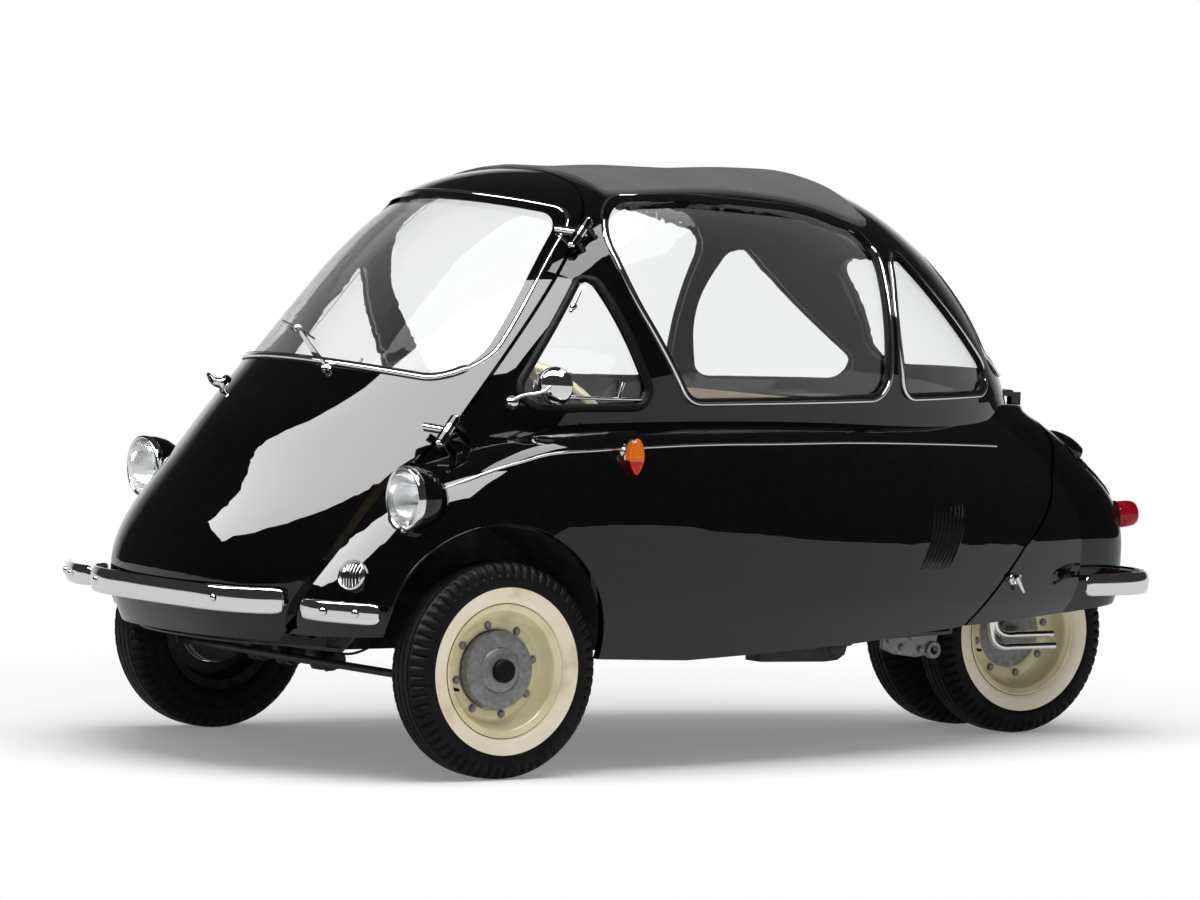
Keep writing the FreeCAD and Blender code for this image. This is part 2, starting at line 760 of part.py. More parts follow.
def tail_lights():
    """Domed lamps on the corners of the tail."""
    dome = turned(TAIL_LAMP, at(*TAIL_LAMP_AT), TAIL_LAMP_AXIS).cut(OUTER_HULL)
    return both_sides(max(dome.Solids, key=lambda solid: solid.Volume))


# Side view of an air scoop. Columns: station, height.
SCOOP_SIDE = ((1788, 690), (1788, 722), (1830, 717), (1872, 702), (1896, 684), (1896, 664), (1870, 650),
              (1830, 640))
scoop_x = 162.0
scoop_width = 96.0


def air_scoops():
    """Two cowls on the deck, open to the rear, for the engine's air."""
    scoops = []
    for _, side in SIDES:
        points = [at(0, station, z) for station, z in SCOOP_SIDE]
        cowl = polygon_face(points)
        cowl.translate(V(side * scoop_x - scoop_width / 2, 0, 0))
        cowl = cowl.extrude(V(scoop_width, 0, 0)).cut(OUTER_HULL).cut(OUTER_EGG)
        scoops.append(max(cowl.Solids, key=lambda solid: solid.Volume))
    return together(scoops)


latch_x = 432.0
latch_station = 1504.0
latch_z = 394.0
LATCH_OUT = V(1, 0.25, 0).normalize()
latch_stem_radius = 7.0
latch_stem_length = 48.0
latch_plate_radius = 12.0
LATCH_PLATE = (8.0, 34.0)   # along the stem
LATCH_SLOPE = V(0, 0.8, -0.6)
latch_grip_radius = 6.0
latch_grip_out = 46.0
LATCH_GRIP = (-10.0, 42.0)  # along the slope


def tail_latches():
    """T handles that hold the cover's lower front corners."""
    foot = at(latch_x, latch_station, latch_z)
    stem = rod(latch_stem_radius, foot, foot + LATCH_OUT * latch_stem_length)
    plate = rod(latch_plate_radius, foot + LATCH_OUT * LATCH_PLATE[0], foot + LATCH_OUT * LATCH_PLATE[1])
    grip_foot = foot + LATCH_OUT * latch_grip_out
    grip = rod(latch_grip_radius, grip_foot + LATCH_SLOPE * LATCH_GRIP[0],
               grip_foot + LATCH_SLOPE * LATCH_GRIP[1])
    latch = fused([stem, grip, plate]).cut(OUTER_HULL)
    return both_sides(max(latch.Solids, key=lambda solid: solid.Volume))


# ---- door hinges -----------------------------------------------------------
HINGE_LOW = at(527, -77, 752)
HINGE_HIGH = at(452, 300, 1182)
hinge_axis = (HINGE_HIGH - HINGE_LOW).normalize()
hinge_pin_radius = 6.0
hinge_knuckle_radius = 13.0
BODY_EYE = (11.5, 34.0)     # along the pin, both ways from the hinge's middle
door_eye_half = 11.0
hinge_pin_half = 40.0
hinge_bore_half = 50.0
hinge_foot_radius = 9.0
hinge_foot_offset = 23.0
hinge_foot_reach = 120.0


def across_hinge(direction):
    """The part of a direction that is square to the hinge axis."""
    return (direction - hinge_axis * direction.dot(hinge_axis)).normalize()


def hinge_eye(centre, low, high):
    return rod(hinge_knuckle_radius, centre + hinge_axis * low, centre + hinge_axis * high)


FOOT_DIRECTION = across_hinge(V(-0.25, 0.97, 0))
ARM_DIRECTION = across_hinge(V(-0.86, -0.3, 0))


def door_hinge_brackets():
    """Body halves of the two hinges, with their pins."""
    halves = []
    for centre in (HINGE_LOW, HINGE_HIGH):
        near, far = BODY_EYE
        lower = hinge_eye(centre, -far, -near)
        upper = hinge_eye(centre, near, far)
        pin = rod(hinge_pin_radius, centre - hinge_axis * hinge_pin_half,
                  centre + hinge_axis * hinge_pin_half)
        reach = FOOT_DIRECTION * hinge_foot_reach
        feet = []
        for offset in (-hinge_foot_offset, hinge_foot_offset):
            start = centre + hinge_axis * offset
            feet.append(rod(hinge_foot_radius, start, start + reach))
        half = fused([lower, upper, pin] + feet).cut(OUTER_EGG).cut(OUTER_HULL)
        halves.append(max(half.Solids, key=lambda solid: solid.Volume))
    return together(halves)


arm_reach = 66.0
hinge_arm_radius = 10.0


def door_hinge_arms():
    """Door halves of the two hinges."""
    arms = []
    for centre in (HINGE_LOW, HINGE_HIGH):
        eye = hinge_eye(centre, -door_eye_half, door_eye_half)
        arm = rod(hinge_arm_radius, centre, centre + ARM_DIRECTION * arm_reach)
        bore = rod(hinge_pin_radius + running_gap, centre - hinge_axis * hinge_bore_half,
                   centre + hinge_axis * hinge_bore_half)
        half = fused([eye, arm]).cut(bore).cut(OUTER_EGG)
        arms.append(max(half.Solids, key=lambda solid: solid.Volume))
    return together(arms)


HANDLE_AT = (-258, -196, 818)
HANDLE_OUT = V(-0.25, -0.75, 0.6).normalize()
HANDLE_LEVER = V(70, -40, -14)
handle_base_radius = 20.0
handle_stem_radius = 9.0
handle_lever_radius = 7.0
handle_sink = 30.0
handle_base_out = 18.0
handle_lever_out = 26.0
handle_stem_out = 30.0


def door_handle():
    pivot = at(*HANDLE_AT)
    base = rod(handle_base_radius, pivot - HANDLE_OUT * handle_sink, pivot + HANDLE_OUT * handle_base_out)
    lever_foot = pivot + HANDLE_OUT * handle_lever_out
    lever = rod(handle_lever_radius, lever_foot, lever_foot + HANDLE_LEVER)
    stem = rod(handle_stem_radius, pivot, pivot + HANDLE_OUT * handle_stem_out)
    handle = fused([base, stem, lever]).cut(OUTER_EGG)
    return max(handle.Solids, key=lambda solid: solid.Volume)


# On the door's skin.
WIPER_FOOT = (165, -170, 866)
WIPER_TIP = (-50, -115, 946)
BLADE_ENDS = ((-156, -92, 958), (60, -138, 928))
WIPER_OUT = V(0.1, -0.75, 0.65).normalize()
wiper_lift = 26.0
blade_lift = 8.0
wiper_boss_radius = 12.0
WIPER_BOSS = (-30.0, 26.0)  # along its axis
wiper_elbow = 20.0
wiper_arm_radius = 5.0
wiper_blade_radius = 4.0
wiper_skin_gap = 0.2


def wiper():
    foot = at(*WIPER_FOOT)
    boss = rod(wiper_boss_radius, foot + WIPER_OUT * WIPER_BOSS[0], foot + WIPER_OUT * WIPER_BOSS[1])
    tip = at(*WIPER_TIP) + WIPER_OUT * wiper_lift
    arm = rod(wiper_arm_radius, foot + WIPER_OUT * wiper_elbow, tip)
    blade_start, blade_end = [at(*end) + WIPER_OUT * blade_lift for end in BLADE_ENDS]
    blade = rod(wiper_blade_radius, blade_start, blade_end)
    post = rod(wiper_arm_radius, tip, tip - WIPER_OUT * (wiper_lift - blade_lift))
    whole = fused([boss, arm, blade, post]).cut(egg(-wiper_skin_gap))
    return max(whole.Solids, key=lambda solid: solid.Volume)


MIRROR_FOOT = (530, 88, 812)
MIRROR_HEAD = (560, 170, 850)
MIRROR_AXIS = V(0.1, -0.99, 0).normalize()
# Half section. Columns: distance forwards, radius.
MIRROR_SHELL = ((-16, 0), (-16, 43), (-8, 44), (2, 34), (12, 14), (15, 0))
mirror_base_radius = 13.0
MIRROR_BASE = (-20.0, 16.0) # along x, from the foot
mirror_stem_radius = 5.0
mirror_stem_start = 10.0


def exterior_mirror():
    foot = at(*MIRROR_FOOT)
    head = at(*MIRROR_HEAD)
    base = rod(mirror_base_radius, foot + X_AXIS * MIRROR_BASE[0], foot + X_AXIS * MIRROR_BASE[1])
    stem = rod(mirror_stem_radius, foot + X_AXIS * mirror_stem_start, head)
    shell = turned(MIRROR_SHELL, head, MIRROR_AXIS)
    whole = fused([base, stem, shell]).cut(OUTER_EGG)
    return max(whole.Solids, key=lambda solid: solid.Volume)


# ---- cabin -------------------------------------------------------------------


def seat(half_width, stations, heights, radius):
    block = box((-half_width, half_width),
                (front_axle_y + stations[0], front_axle_y + stations[1]), heights)
    upright = [edge for edge in block.Edges if edge.BoundBox.ZLength > heights[1] - heights[0] - clear]
    return block.makeFillet(radius, upright)


bench_half_width = 430.0
BENCH_STATIONS = (640.0, 1060.0)
bench_top = 520.0
bench_low = 400.0
bench_corner = 40.0
rear_seat_half_width = 360.0
REAR_SEAT_STATIONS = (1140.0, 1330.0)
rear_seat_low = 420.0
rear_seat_top = 520.0
rear_seat_corner = 30.0
FRAME_INSET = (30.0, 30.0, 20.0)        # under the bench: sideways, front, back
REAR_FRAME_INSET = (30.0, 30.0, 0.0)


def front_seat():
    return seat(bench_half_width, BENCH_STATIONS, (bench_low, bench_top), bench_corner)


def frame_under(half_width, stations, top_z, inset):
    side, front, back = inset
    return box((side - half_width, half_width - side),
               (front_axle_y + stations[0] + front, front_axle_y + stations[1] - back),
               (pan_high, top_z - seat_gap))


def seat_frame():
    """Steel boxes under both benches."""
    front = frame_under(bench_half_width, BENCH_STATIONS, bench_low, FRAME_INSET)
    rear = frame_under(rear_seat_half_width, REAR_SEAT_STATIONS, rear_seat_low, REAR_FRAME_INSET)
    return together([front, rear])


backrest_half_width = 400.0
backrest_top = 820.0
backrest_thickness = 60.0
backrest_lean = 60.0        # of the top behind the foot


def front_backrest():
    low_z = bench_top + seat_gap
    rear = BENCH_STATIONS[1]
    front = rear - backrest_thickness
    back = polygon_face([at(0, front, low_z), at(0, rear, low_z),
                         at(0, rear + backrest_lean, backrest_top),
                         at(0, front + backrest_lean, backrest_top)])
    return side_prism(back, -backrest_half_width, backrest_half_width)


def rear_seat():
    return seat(rear_seat_half_width, REAR_SEAT_STATIONS, (rear_seat_low, rear_seat_top), rear_seat_corner)


shelf_z = 772.0
shelf_end_station = 1740.0
bulkhead_station = 1336.0
bulkhead_thickness = 12.0


def rear_bulkhead():
    """Steel wall and shelf that part the cabin from the engine bay."""
    inside = floor_outline(body_wall + seat_gap)
    front_y = front_axle_y + bulkhead_station
    wall = box(ACROSS, (front_y, front_y + bulkhead_thickness), (pan_high, shelf_z))
    shelf = box(ACROSS, (front_y, front_axle_y + shelf_end_station), (shelf_z, shelf_z + bulkhead_thickness))
    whole = fused([wall, shelf]).common(inside)
    return whole.removeSplitter()


COLUMN_FOOT = at(240, -70, 340)
WHEEL_HUB = at(240, 425, 730)
column_axis = (WHEEL_HUB - COLUMN_FOOT).normalize()
steering_radius = 190.0
steering_rim_radius = 11.0
column_radius = 22.0
column_gap = 40.0           # between its upper end and the hub's middle
gearbox_half_width = 45.0
GEARBOX_STATIONS = (-130.0, -20.0)
gearbox_top = 372.0
pod_radius = 58.0
pod_length = 60.0
pod_reach = 470.0           # along the column
POD_LIFT = V(0, -30, 40)
shaft_radius = 9.0
bearing_depth = 80.0
SHAFT_SPAN = (-118.0, -20.0)            # along the axis, from the hub's middle
hub_disc_radius = 34.0
HUB_DISC_SPAN = (-30.0, 8.0)
spoke_radius = 9.0
spoke_dish = 12.0
SPOKE_TURNS = (0, 120, 240)


def steering_column():
    """Column with its box on the floor, instrument pod and a bored top bearing."""
    end = WHEEL_HUB - column_axis * column_gap
    tube = rod(column_radius, COLUMN_FOOT, end)
    gearbox = box((COLUMN_FOOT.x - gearbox_half_width, COLUMN_FOOT.x + gearbox_half_width),
                  (front_axle_y + GEARBOX_STATIONS[0], front_axle_y + GEARBOX_STATIONS[1]),
                  (pan_high, gearbox_top))
    pod_end = COLUMN_FOOT + column_axis * pod_reach + POD_LIFT
    pod = rod(pod_radius, pod_end - column_axis * pod_length, pod_end)
    column = fused([tube, gearbox, pod])
    bore = rod(shaft_radius + running_gap, end - column_axis * bearing_depth, end + column_axis * clear)
    return column.cut(bore)


def steering_wheel():
    ring = Part.makeTorus(steering_radius, steering_rim_radius, WHEEL_HUB, column_axis)
    hub = rod(hub_disc_radius, WHEEL_HUB + column_axis * HUB_DISC_SPAN[0],
              WHEEL_HUB + column_axis * HUB_DISC_SPAN[1])
    shaft = rod(shaft_radius, WHEEL_HUB + column_axis * SHAFT_SPAN[0],
                WHEEL_HUB + column_axis * SHAFT_SPAN[1])
    across = column_axis.cross(X_AXIS).normalize()
    spokes = []
    for turn in SPOKE_TURNS:
        angle = math.radians(turn)
        outward = across * -math.cos(angle) + X_AXIS * math.sin(angle)
        spokes.append(rod(spoke_radius, WHEEL_HUB - column_axis * spoke_dish,
                          WHEEL_HUB + outward * steering_radius))
    return fused([hub, ring, shaft] + spokes)


PEDAL_X = (120.0, 200.0, 330.0)
pedal_foot_station = -215.0
pedal_top_station = -150.0
pedal_top_z = 400.0
stalk_radius = 7.0
pad_half_width = 28.0
PAD_STATIONS = (-158.0, -146.0)
PAD_Z = (388.0, 446.0)


def pedals():
    levers = []
    under_floor = box(ACROSS, ALONG, (0, pan_high))
    for x in PEDAL_X:
        stalk = rod(stalk_radius, at(x, pedal_foot_station, pan_high), at(x, pedal_top_station, pedal_top_z))
        pad = box((x - pad_half_width, x + pad_half_width),
                  (front_axle_y + PAD_STATIONS[0], front_axle_y + PAD_STATIONS[1]), PAD_Z)
        levers.append(fused([stalk, pad]).cut(under_floor))
    return together(levers)


# ---- running gear --------------------------------------------------------------
bead_height = 2.0           # of the tyre's foot past the rim's flange
wall_foot = 30.0            # of its full width past the flange
shoulder_drop = 38.0        # from the tread
tread_edge_in = 12.0
tread_edge_drop = 9.0


def tyre(centre):
    half = tyre_width / 2
    bead = rim_width / 2 - rim_sheet
    right = ((bead, rim_radius), (bead, flange_radius + bead_height), (half, flange_radius + wall_foot),
             (half, tyre_radius - shoulder_drop), (half - tread_edge_in, tyre_radius - tread_edge_drop),
             (half / 3, tyre_radius))
    left = [(-along, radius) for along, radius in right]
    return turned(left + list(right[::-1]), centre, X_AXIS)


def rim(centre, side, disc_offset, hole_radius):
    """Pressed steel rim with its disc at disc_offset towards the outside."""
    half = rim_width / 2
    well = rim_radius - rim_sheet
    points = ((-half, well), (-half, flange_radius), (-half + rim_sheet, flange_radius),
              (-half + rim_sheet, rim_radius), (half - rim_sheet, rim_radius),
              (half - rim_sheet, flange_radius), (half, flange_radius), (half, well))
    barrel = turned(points, centre, X_AXIS)
    disc_low = disc_offset - rim_sheet / 2
    disc_high = disc_offset + rim_sheet / 2
    disc = turned(((side * disc_low, hole_radius), (side * disc_high, hole_radius),
                   (side * disc_high, well + clear), (side * disc_low, well + clear)), centre, X_AXIS)
    return fused([barrel, disc])


disc_offset = 12.0


def wheel_middle(side):
    return V(side * track_front / 2, front_axle_y, wheel_z)


drum_inner = -28.0          # its inner face, from the wheel's middle outwards
drum_face = drum_inner + drum_width
drum_bore = 46.0
# Half section. Columns: distance outwards, radius.
DRUM = ((drum_inner, 0), (drum_inner, drum_radius), (drum_face, drum_radius),
        (drum_face + 4, drum_radius - 6), (drum_face + 4, hub_radius),
        (drum_face + 16, hub_radius), (drum_face + 18, hub_radius - 4),
        (drum_face + 18, cap_radius), (drum_face + 26, cap_radius),
        (drum_face + 30, cap_radius - 5), (drum_face + 30, 0))


def drum(side):
    """Aluminium drum and hub with its black cap, bored for the stub axle."""
    body = turned([(side * along, radius) for along, radius in DRUM], wheel_middle(side), X_AXIS)
    bore_start = wheel_middle(side) + X_AXIS * side * (drum_inner - clear)
    bore = rod(stub_radius + running_gap, bore_start, bore_start + X_AXIS * side * drum_bore)
    return body.cut(bore)


kingpin_radius = 9.0
kingpin_cover = 4.0         # of the yoke lugs past the kingpin
boss_radius = 17.0
boss_half_height = 25.0
stub_reach = 14.0           # past the wheel's middle
backplate_near = 33.0       # from the wheel's middle inwards
backplate_far = 40.0
backplate_margin = 3.0
arm_z = track_rod_z + 22.5
arm_bar_radius = 9.0
arm_bar_start = 10.0
ball_radius = 12.0
stud_radius = 5.0
eye_half_height = 9.0
slack_bore_radius = 6.0
bore_reach = 40.0


def knuckle_pin_x(side):
    return side * (track_front / 2 - kingpin_offset)


def knuckle(side):
    """Stub axle, brake backplate, kingpin boss and steering arm."""
    pin_x = knuckle_pin_x(side)
    middle = wheel_middle(side)
    pin_middle = V(pin_x, front_axle_y, wheel_z)
    boss = rod(boss_radius, pin_middle - Z_AXIS * boss_half_height, pin_middle + Z_AXIS * boss_half_height)
    stub = rod(stub_radius, pin_middle, middle + V(side * stub_reach, 0, 0))
    plate = rod(drum_radius - backplate_margin, middle - V(side * backplate_far, 0, 0),
                middle - V(side * backplate_near, 0, 0))
    arm_end = V(pin_x, front_axle_y - steering_arm, arm_z)
    arm = rod(arm_bar_radius, V(pin_x, front_axle_y - arm_bar_start, arm_z), arm_end)
    ball = Part.makeSphere(ball_radius, arm_end)
    stud = rod(stud_radius, arm_end, V(pin_x, front_axle_y - steering_arm, track_rod_z - eye_half_height))
    whole = fused([boss, stub, plate, arm, ball, stud])
    bore = rod(kingpin_radius + running_gap, pin_middle - Z_AXIS * bore_reach,
               pin_middle + Z_AXIS * bore_reach)
    return whole.cut(bore)


def track_rod():
    """Rod between the two steering arms; its right eye is left slack."""
    left = V(knuckle_pin_x(1), front_axle_y - steering_arm, track_rod_z)
    right = V(knuckle_pin_x(-1), front_axle_y - steering_arm, track_rod_z)
    bar_solid = rod(arm_bar_radius, left, right)
    eyes = [rod(ball_radius, end - Z_AXIS * eye_half_height, end + Z_AXIS * eye_half_height)
            for end in (left, right)]
    whole = fused([bar_solid] + eyes)
    close_bore = rod(stud_radius + running_gap, left - Z_AXIS * bore_reach, left + Z_AXIS * bore_reach)
    slack_bore = rod(slack_bore_radius, right - Z_AXIS * bore_reach, right + Z_AXIS * bore_reach)
    return whole.cut(close_bore).cut(slack_bore)


tube_station = 205.0
tube_z = wheel_z + 1.0
tube_radius = 22.0
tube_mount_x = 260.0
tube_mount_half_width = 30.0
arm_inset = 129.5           # from the kingpin to the leading tube of each arm
arm_x = knuckle_pin_x(1) - arm_inset
arm_radius = 16.0
arm_corner_radius = 17.5
arm_cross_radius = 13.0
yoke_near = 28.0            # from the kingpin inwards
yoke_far = 44.0
yoke_half_length = 11.0
yoke_lug = 11.0
yoke_low = wheel_z - 37.0
yoke_high = wheel_z + 39.0
upper_lug = 13.0
pin_margin = 1.0
pivot_overlap = 20.0        # each side of the leading tube, on the cross tube's line


def front_axle_tube():
    end_x = arm_x - pivot_overlap
    tube = rod(tube_radius, at(-end_x, tube_station, tube_z), at(end_x, tube_station, tube_z))
    depth = (front_axle_y + tube_station - tube_radius, front_axle_y + tube_station + tube_radius)
    mounts = [box((x - tube_mount_half_width, x + tube_mount_half_width), depth, (tube_z, pan_low))
              for x in (-tube_mount_x, tube_mount_x)]
    return fused([tube] + mounts)


def front_swing_arms():
    """Leading arms from the cross tube to the kingpins."""
    pin_x = knuckle_pin_x(1)
    pivot = rod(tube_radius, at(arm_x - pivot_overlap, tube_station, tube_z),
                at(arm_x + pivot_overlap, tube_station, tube_z))
    leading = rod(arm_radius, at(arm_x, tube_station, tube_z), at(arm_x, 0, wheel_z))
    corner = Part.makeSphere(arm_corner_radius, at(arm_x, 0, wheel_z))
    cross = rod(arm_cross_radius, at(arm_x, 0, wheel_z), at(pin_x - yoke_far + yoke_lug, 0, wheel_z))
    depth = (front_axle_y - yoke_half_length, front_axle_y + yoke_half_length)
    yoke = box((pin_x - yoke_far, pin_x - yoke_near), depth, (yoke_low, yoke_high))
    lugs = [box((pin_x - yoke_far, pin_x + kingpin_cover), depth, heights)
            for heights in ((yoke_low, yoke_low + yoke_lug), (yoke_high - upper_lug, yoke_high))]
    pin = rod(kingpin_radius, V(pin_x, front_axle_y, yoke_low + pin_margin),
              V(pin_x, front_axle_y, yoke_high - pin_margin))
    return both_sides(fused([pivot, leading, corner, cross, yoke, pin] + lugs))


rear_axle_radius = 15.0
rear_drum_face = -8.0       # from the wheel's middle, outwards
rear_disc_offset = rear_drum_face + rim_sheet / 2
rear_hub_radius = 36.0
rear_shaft_half = 150.0
rear_drum_depth = 50.0
rear_hub_reach = 20.0


def rear_centre(side):
    return V(side * track_rear / 2, rear_axle_y, wheel_z)


def rear_axle():
    """Live axle with a flanged drum inside each rear wheel."""
    shaft = rod(rear_axle_radius, V(-rear_shaft_half, rear_axle_y, wheel_z),
                V(rear_shaft_half, rear_axle_y, wheel_z))
    drums = []
    for _, side in SIDES:
        middle = rear_centre(side)
        face = middle + V(side * rear_drum_face, 0, 0)
        drums.append(rod(drum_radius, face - X_AXIS * side * rear_drum_depth, face))
        drums.append(rod(rear_hub_radius, face, face + X_AXIS * side * rear_hub_reach))
    return fused([shaft] + drums)


case_half_width = 40.0
case_front_radius = 40.0
case_rear_radius = 48.0
rear_pivot_station = 1420.0
rear_pivot_z = 262.0
rear_pivot_radius = 14.0
rear_pivot_half = 150.0
axle_bore_half = 60.0


def rear_swing_arm():
    """Trailing arm with the chain case between the rear wheels."""
    pivot = at(0, rear_pivot_station, rear_pivot_z)
    eye = V(0, rear_axle_y, wheel_z)
    corners = [pivot - Z_AXIS * case_front_radius, pivot + Z_AXIS * case_front_radius,
               eye + Z_AXIS * case_rear_radius, eye - Z_AXIS * case_rear_radius]
    half_width = X_AXIS * case_half_width
    case = polygon_face([corner - half_width for corner in corners]).extrude(half_width * 2)
    rounds = [rod(case_rear_radius, eye - half_width, eye + half_width),
              rod(case_front_radius, pivot - half_width, pivot + half_width)]
    pin = rod(rear_pivot_radius, pivot - X_AXIS * rear_pivot_half, pivot + X_AXIS * rear_pivot_half)
    bore = rod(rear_axle_radius + running_gap, eye - X_AXIS * axle_bore_half, eye + X_AXIS * axle_bore_half)
    return fused([case, pin] + rounds).cut(bore)


ENGINE_X = (-170.0, 230.0)
ENGINE_Z = (300.0, 640.0)
engine_front_station = 1352.0
engine_end_station = 1512.0
# Hollow under the engine for the rear arm's front end. Columns: from, to.
ARM_TUNNEL_X = (-200.0, 200.0)
ARM_TUNNEL_STATIONS = (1370.0, 1480.0)
ARM_TUNNEL_Z = (200.0, 322.0)
beam_half_width = 330.0
BEAM_STATIONS = (1350.0, 1376.0)
BEAM_Z = (floor_z - 2, floor_z + 34)
CHEEK_X = (150.0, 164.0)
cheek_rear_station = 1450.0
cheek_low_z = 206.0


def engine_block():
    block = box(ENGINE_X, (front_axle_y + engine_front_station, front_axle_y + engine_end_station), ENGINE_Z)
    tunnel = box(ARM_TUNNEL_X,
                 (front_axle_y + ARM_TUNNEL_STATIONS[0], front_axle_y + ARM_TUNNEL_STATIONS[1]), ARM_TUNNEL_Z)
    return block.cut(tunnel)


def engine_cradle():
    """Cast bracket and cross beam that carry the engine and the rear arm's pivot."""
    beam = box((-beam_half_width, beam_half_width),
               (front_axle_y + BEAM_STATIONS[0], front_axle_y + BEAM_STATIONS[1]), BEAM_Z)
    depth = (front_axle_y + engine_front_station, front_axle_y + cheek_rear_station)
    cheeks = [box(sorted((side * CHEEK_X[0], side * CHEEK_X[1])), depth, (cheek_low_z, ENGINE_Z[0]))
              for _, side in SIDES]
    return fused([beam] + cheeks)


# Tail pipes. Columns: x, station of the drop, height of the outlet.
PIPES = ((204, 1662, 239), (214, 1646, 212))
pipe_radius = 10.0
pipe_bend = 26.0
pipe_end_station = 1816.0
silencer_z = 430.0
silencer_x = 238.0
silencer_radius = 52.0
SILENCER_STATIONS = (1560.0, 1720.0)
header_x = 208.0
header_radius = 16.0
header_overlap = 2.0        # into the silencer


def exhaust_pipes():
    pipes = []
    for x, station, low_z in PIPES:
        top = at(x, station, silencer_z)
        bend_start = at(x, station, low_z + pipe_bend)
        bend_end = at(x, station + pipe_bend, low_z)
        drop = rod(pipe_radius, top, bend_start)
        bend = Part.makeSphere(pipe_radius, bend_start)
        slant = rod(pipe_radius, bend_start, bend_end)
        knee = Part.makeSphere(pipe_radius, bend_end)
        run = rod(pipe_radius, bend_end, at(x, pipe_end_station, low_z))
        pipes.append(fused([drop, bend, slant, knee, run]))
    front, rear = SILENCER_STATIONS
    silencer = rod(silencer_radius, at(silencer_x, front, silencer_z), at(silencer_x, rear, silencer_z))
    header = rod(header_radius, at(header_x, engine_end_station, silencer_z),
                 at(header_x, front + header_overlap, silencer_z))
    return fused(pipes + [silencer, header])


# ---- nodes ---------------------------------------------------------------------
NODES = {
    "cabin_shell": cabin_shell,
    "lower_body": lower_body,
    "floor_pan": floor_pan,
    "wheel_wells": wheel_wells,
    "rear_bulkhead": rear_bulkhead,
    "fabric_roof": fabric_roof,
    "side_windows": lambda: glazing(MAIN_CUTS + QUARTER_CUTS),
    "vent_windows": lambda: glazing(VENT_CUTS),
    "rear_window": lambda: glazing([REAR_CUT]),
    "headlamps": headlamps,
    "headlamp_lenses": headlamp_lenses,
    "horn_grille": horn_grille,
    "side_indicators": side_indicators,
    "front_corner_bumpers": front_corner_bumpers,
    "exterior_mirror": exterior_mirror,
    "door_hinge_brackets": door_hinge_brackets,
    "seat_frame": seat_frame,
    "front_seat": front_seat,
    "front_backrest": front_backrest,
    "rear_seat": rear_seat,
    "steering_column": steering_column,
    "pedals": pedals,
    "front_axle_tube": front_axle_tube,
    "front_swing_arms": front_swing_arms,
    "engine_block": engine_block,
    "engine_cradle": engine_cradle,
    "rear_swing_arm": rear_swing_arm,
    "exhaust_pipes": exhaust_pipes,
    "front_door": front_door,
    "windscreen": lambda: glazing([SCREEN_CUT]),
    "centre_bumper": centre_bumper,
    "door_hinge_arms": door_hinge_arms,
    "door_handle": door_handle,
    "wiper": wiper,
    "tail_cover": tail_cover,
    "tail_lights": tail_lights,
    "rear_bumpers": rear_bumpers,
    "air_scoops": air_scoops,
    "tail_latches": tail_latches,
    "left_knuckle": lambda: knuckle(1),
    "right_knuckle": lambda: knuckle(-1),
    "front_left_tyre": lambda: tyre(wheel_middle(1)),
    "front_left_rim": lambda: rim(wheel_middle(1), 1, disc_offset, drum_radius),
    "front_left_drum": lambda: drum(1),
    "front_right_tyre": lambda: tyre(wheel_middle(-1)),
    "front_right_rim": lambda: rim(wheel_middle(-1), -1, disc_offset, drum_radius),
    "front_right_drum": lambda: drum(-1),
    "rear_tyres": lambda: together([tyre(rear_centre(side)) for _, side in SIDES]),
    "rear_rims": lambda: together([rim(rear_centre(side), side, rear_disc_offset, rear_hub_radius)
                                   for _, side in SIDES]),
    "rear_axle": rear_axle,
    "steering_wheel": steering_wheel,
    "track_rod": track_rod,
}

os.makedirs("parts", exist_ok=True)
for node_name, make in NODES.items():
    make().exportStep("parts/" + node_name + ".step")
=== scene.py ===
# %% [markdown]
# # A bubble car, built around its CAD frame
# The CAD model gives every panel, wheel and hinge its place. This lesson gives
# them their looks: it loads the frame, sets up a studio, and then goes round the
# car piece by piece. Everything is in metres, +Z is up, the nose faces -Y and +X
# is the car's own left. Each piece stays where the CAD says, so the front door,
# the tail cover and the wheels still move.

# %% Load the frame
import bpy
import math
from mathutils import Matrix, Vector


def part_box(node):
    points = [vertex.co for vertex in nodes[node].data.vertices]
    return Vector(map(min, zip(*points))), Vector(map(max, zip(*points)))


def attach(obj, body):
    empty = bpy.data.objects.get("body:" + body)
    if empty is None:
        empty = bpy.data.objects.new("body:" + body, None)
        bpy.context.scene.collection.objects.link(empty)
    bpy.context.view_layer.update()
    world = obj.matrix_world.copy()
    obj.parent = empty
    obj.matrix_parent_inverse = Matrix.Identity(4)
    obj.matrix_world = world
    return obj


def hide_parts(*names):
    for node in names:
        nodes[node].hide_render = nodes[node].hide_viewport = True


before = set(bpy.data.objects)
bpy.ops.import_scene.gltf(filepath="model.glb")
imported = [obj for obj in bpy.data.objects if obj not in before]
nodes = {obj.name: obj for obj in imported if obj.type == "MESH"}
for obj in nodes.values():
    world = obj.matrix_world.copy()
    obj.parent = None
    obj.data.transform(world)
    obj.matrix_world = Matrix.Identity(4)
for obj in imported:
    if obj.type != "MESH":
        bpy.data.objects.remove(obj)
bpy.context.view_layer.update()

# %% [markdown]
# ## Small helpers
# Blender's operators act on whatever is selected, and a freshly loaded frame is
# selected all over. These helpers deselect everything first, and then work on one
# object at a time. An operator that needs edit mode is wrapped so that it always
# comes back to object mode.


# %% Select and activate
def only(piece):
    """Select one object and make it active."""
    if bpy.context.object and bpy.context.object.mode != "OBJECT":
        bpy.ops.object.mode_set(mode="OBJECT")
    bpy.ops.object.select_all(action="DESELECT")
    piece.select_set(True)
    bpy.context.view_layer.objects.active = piece


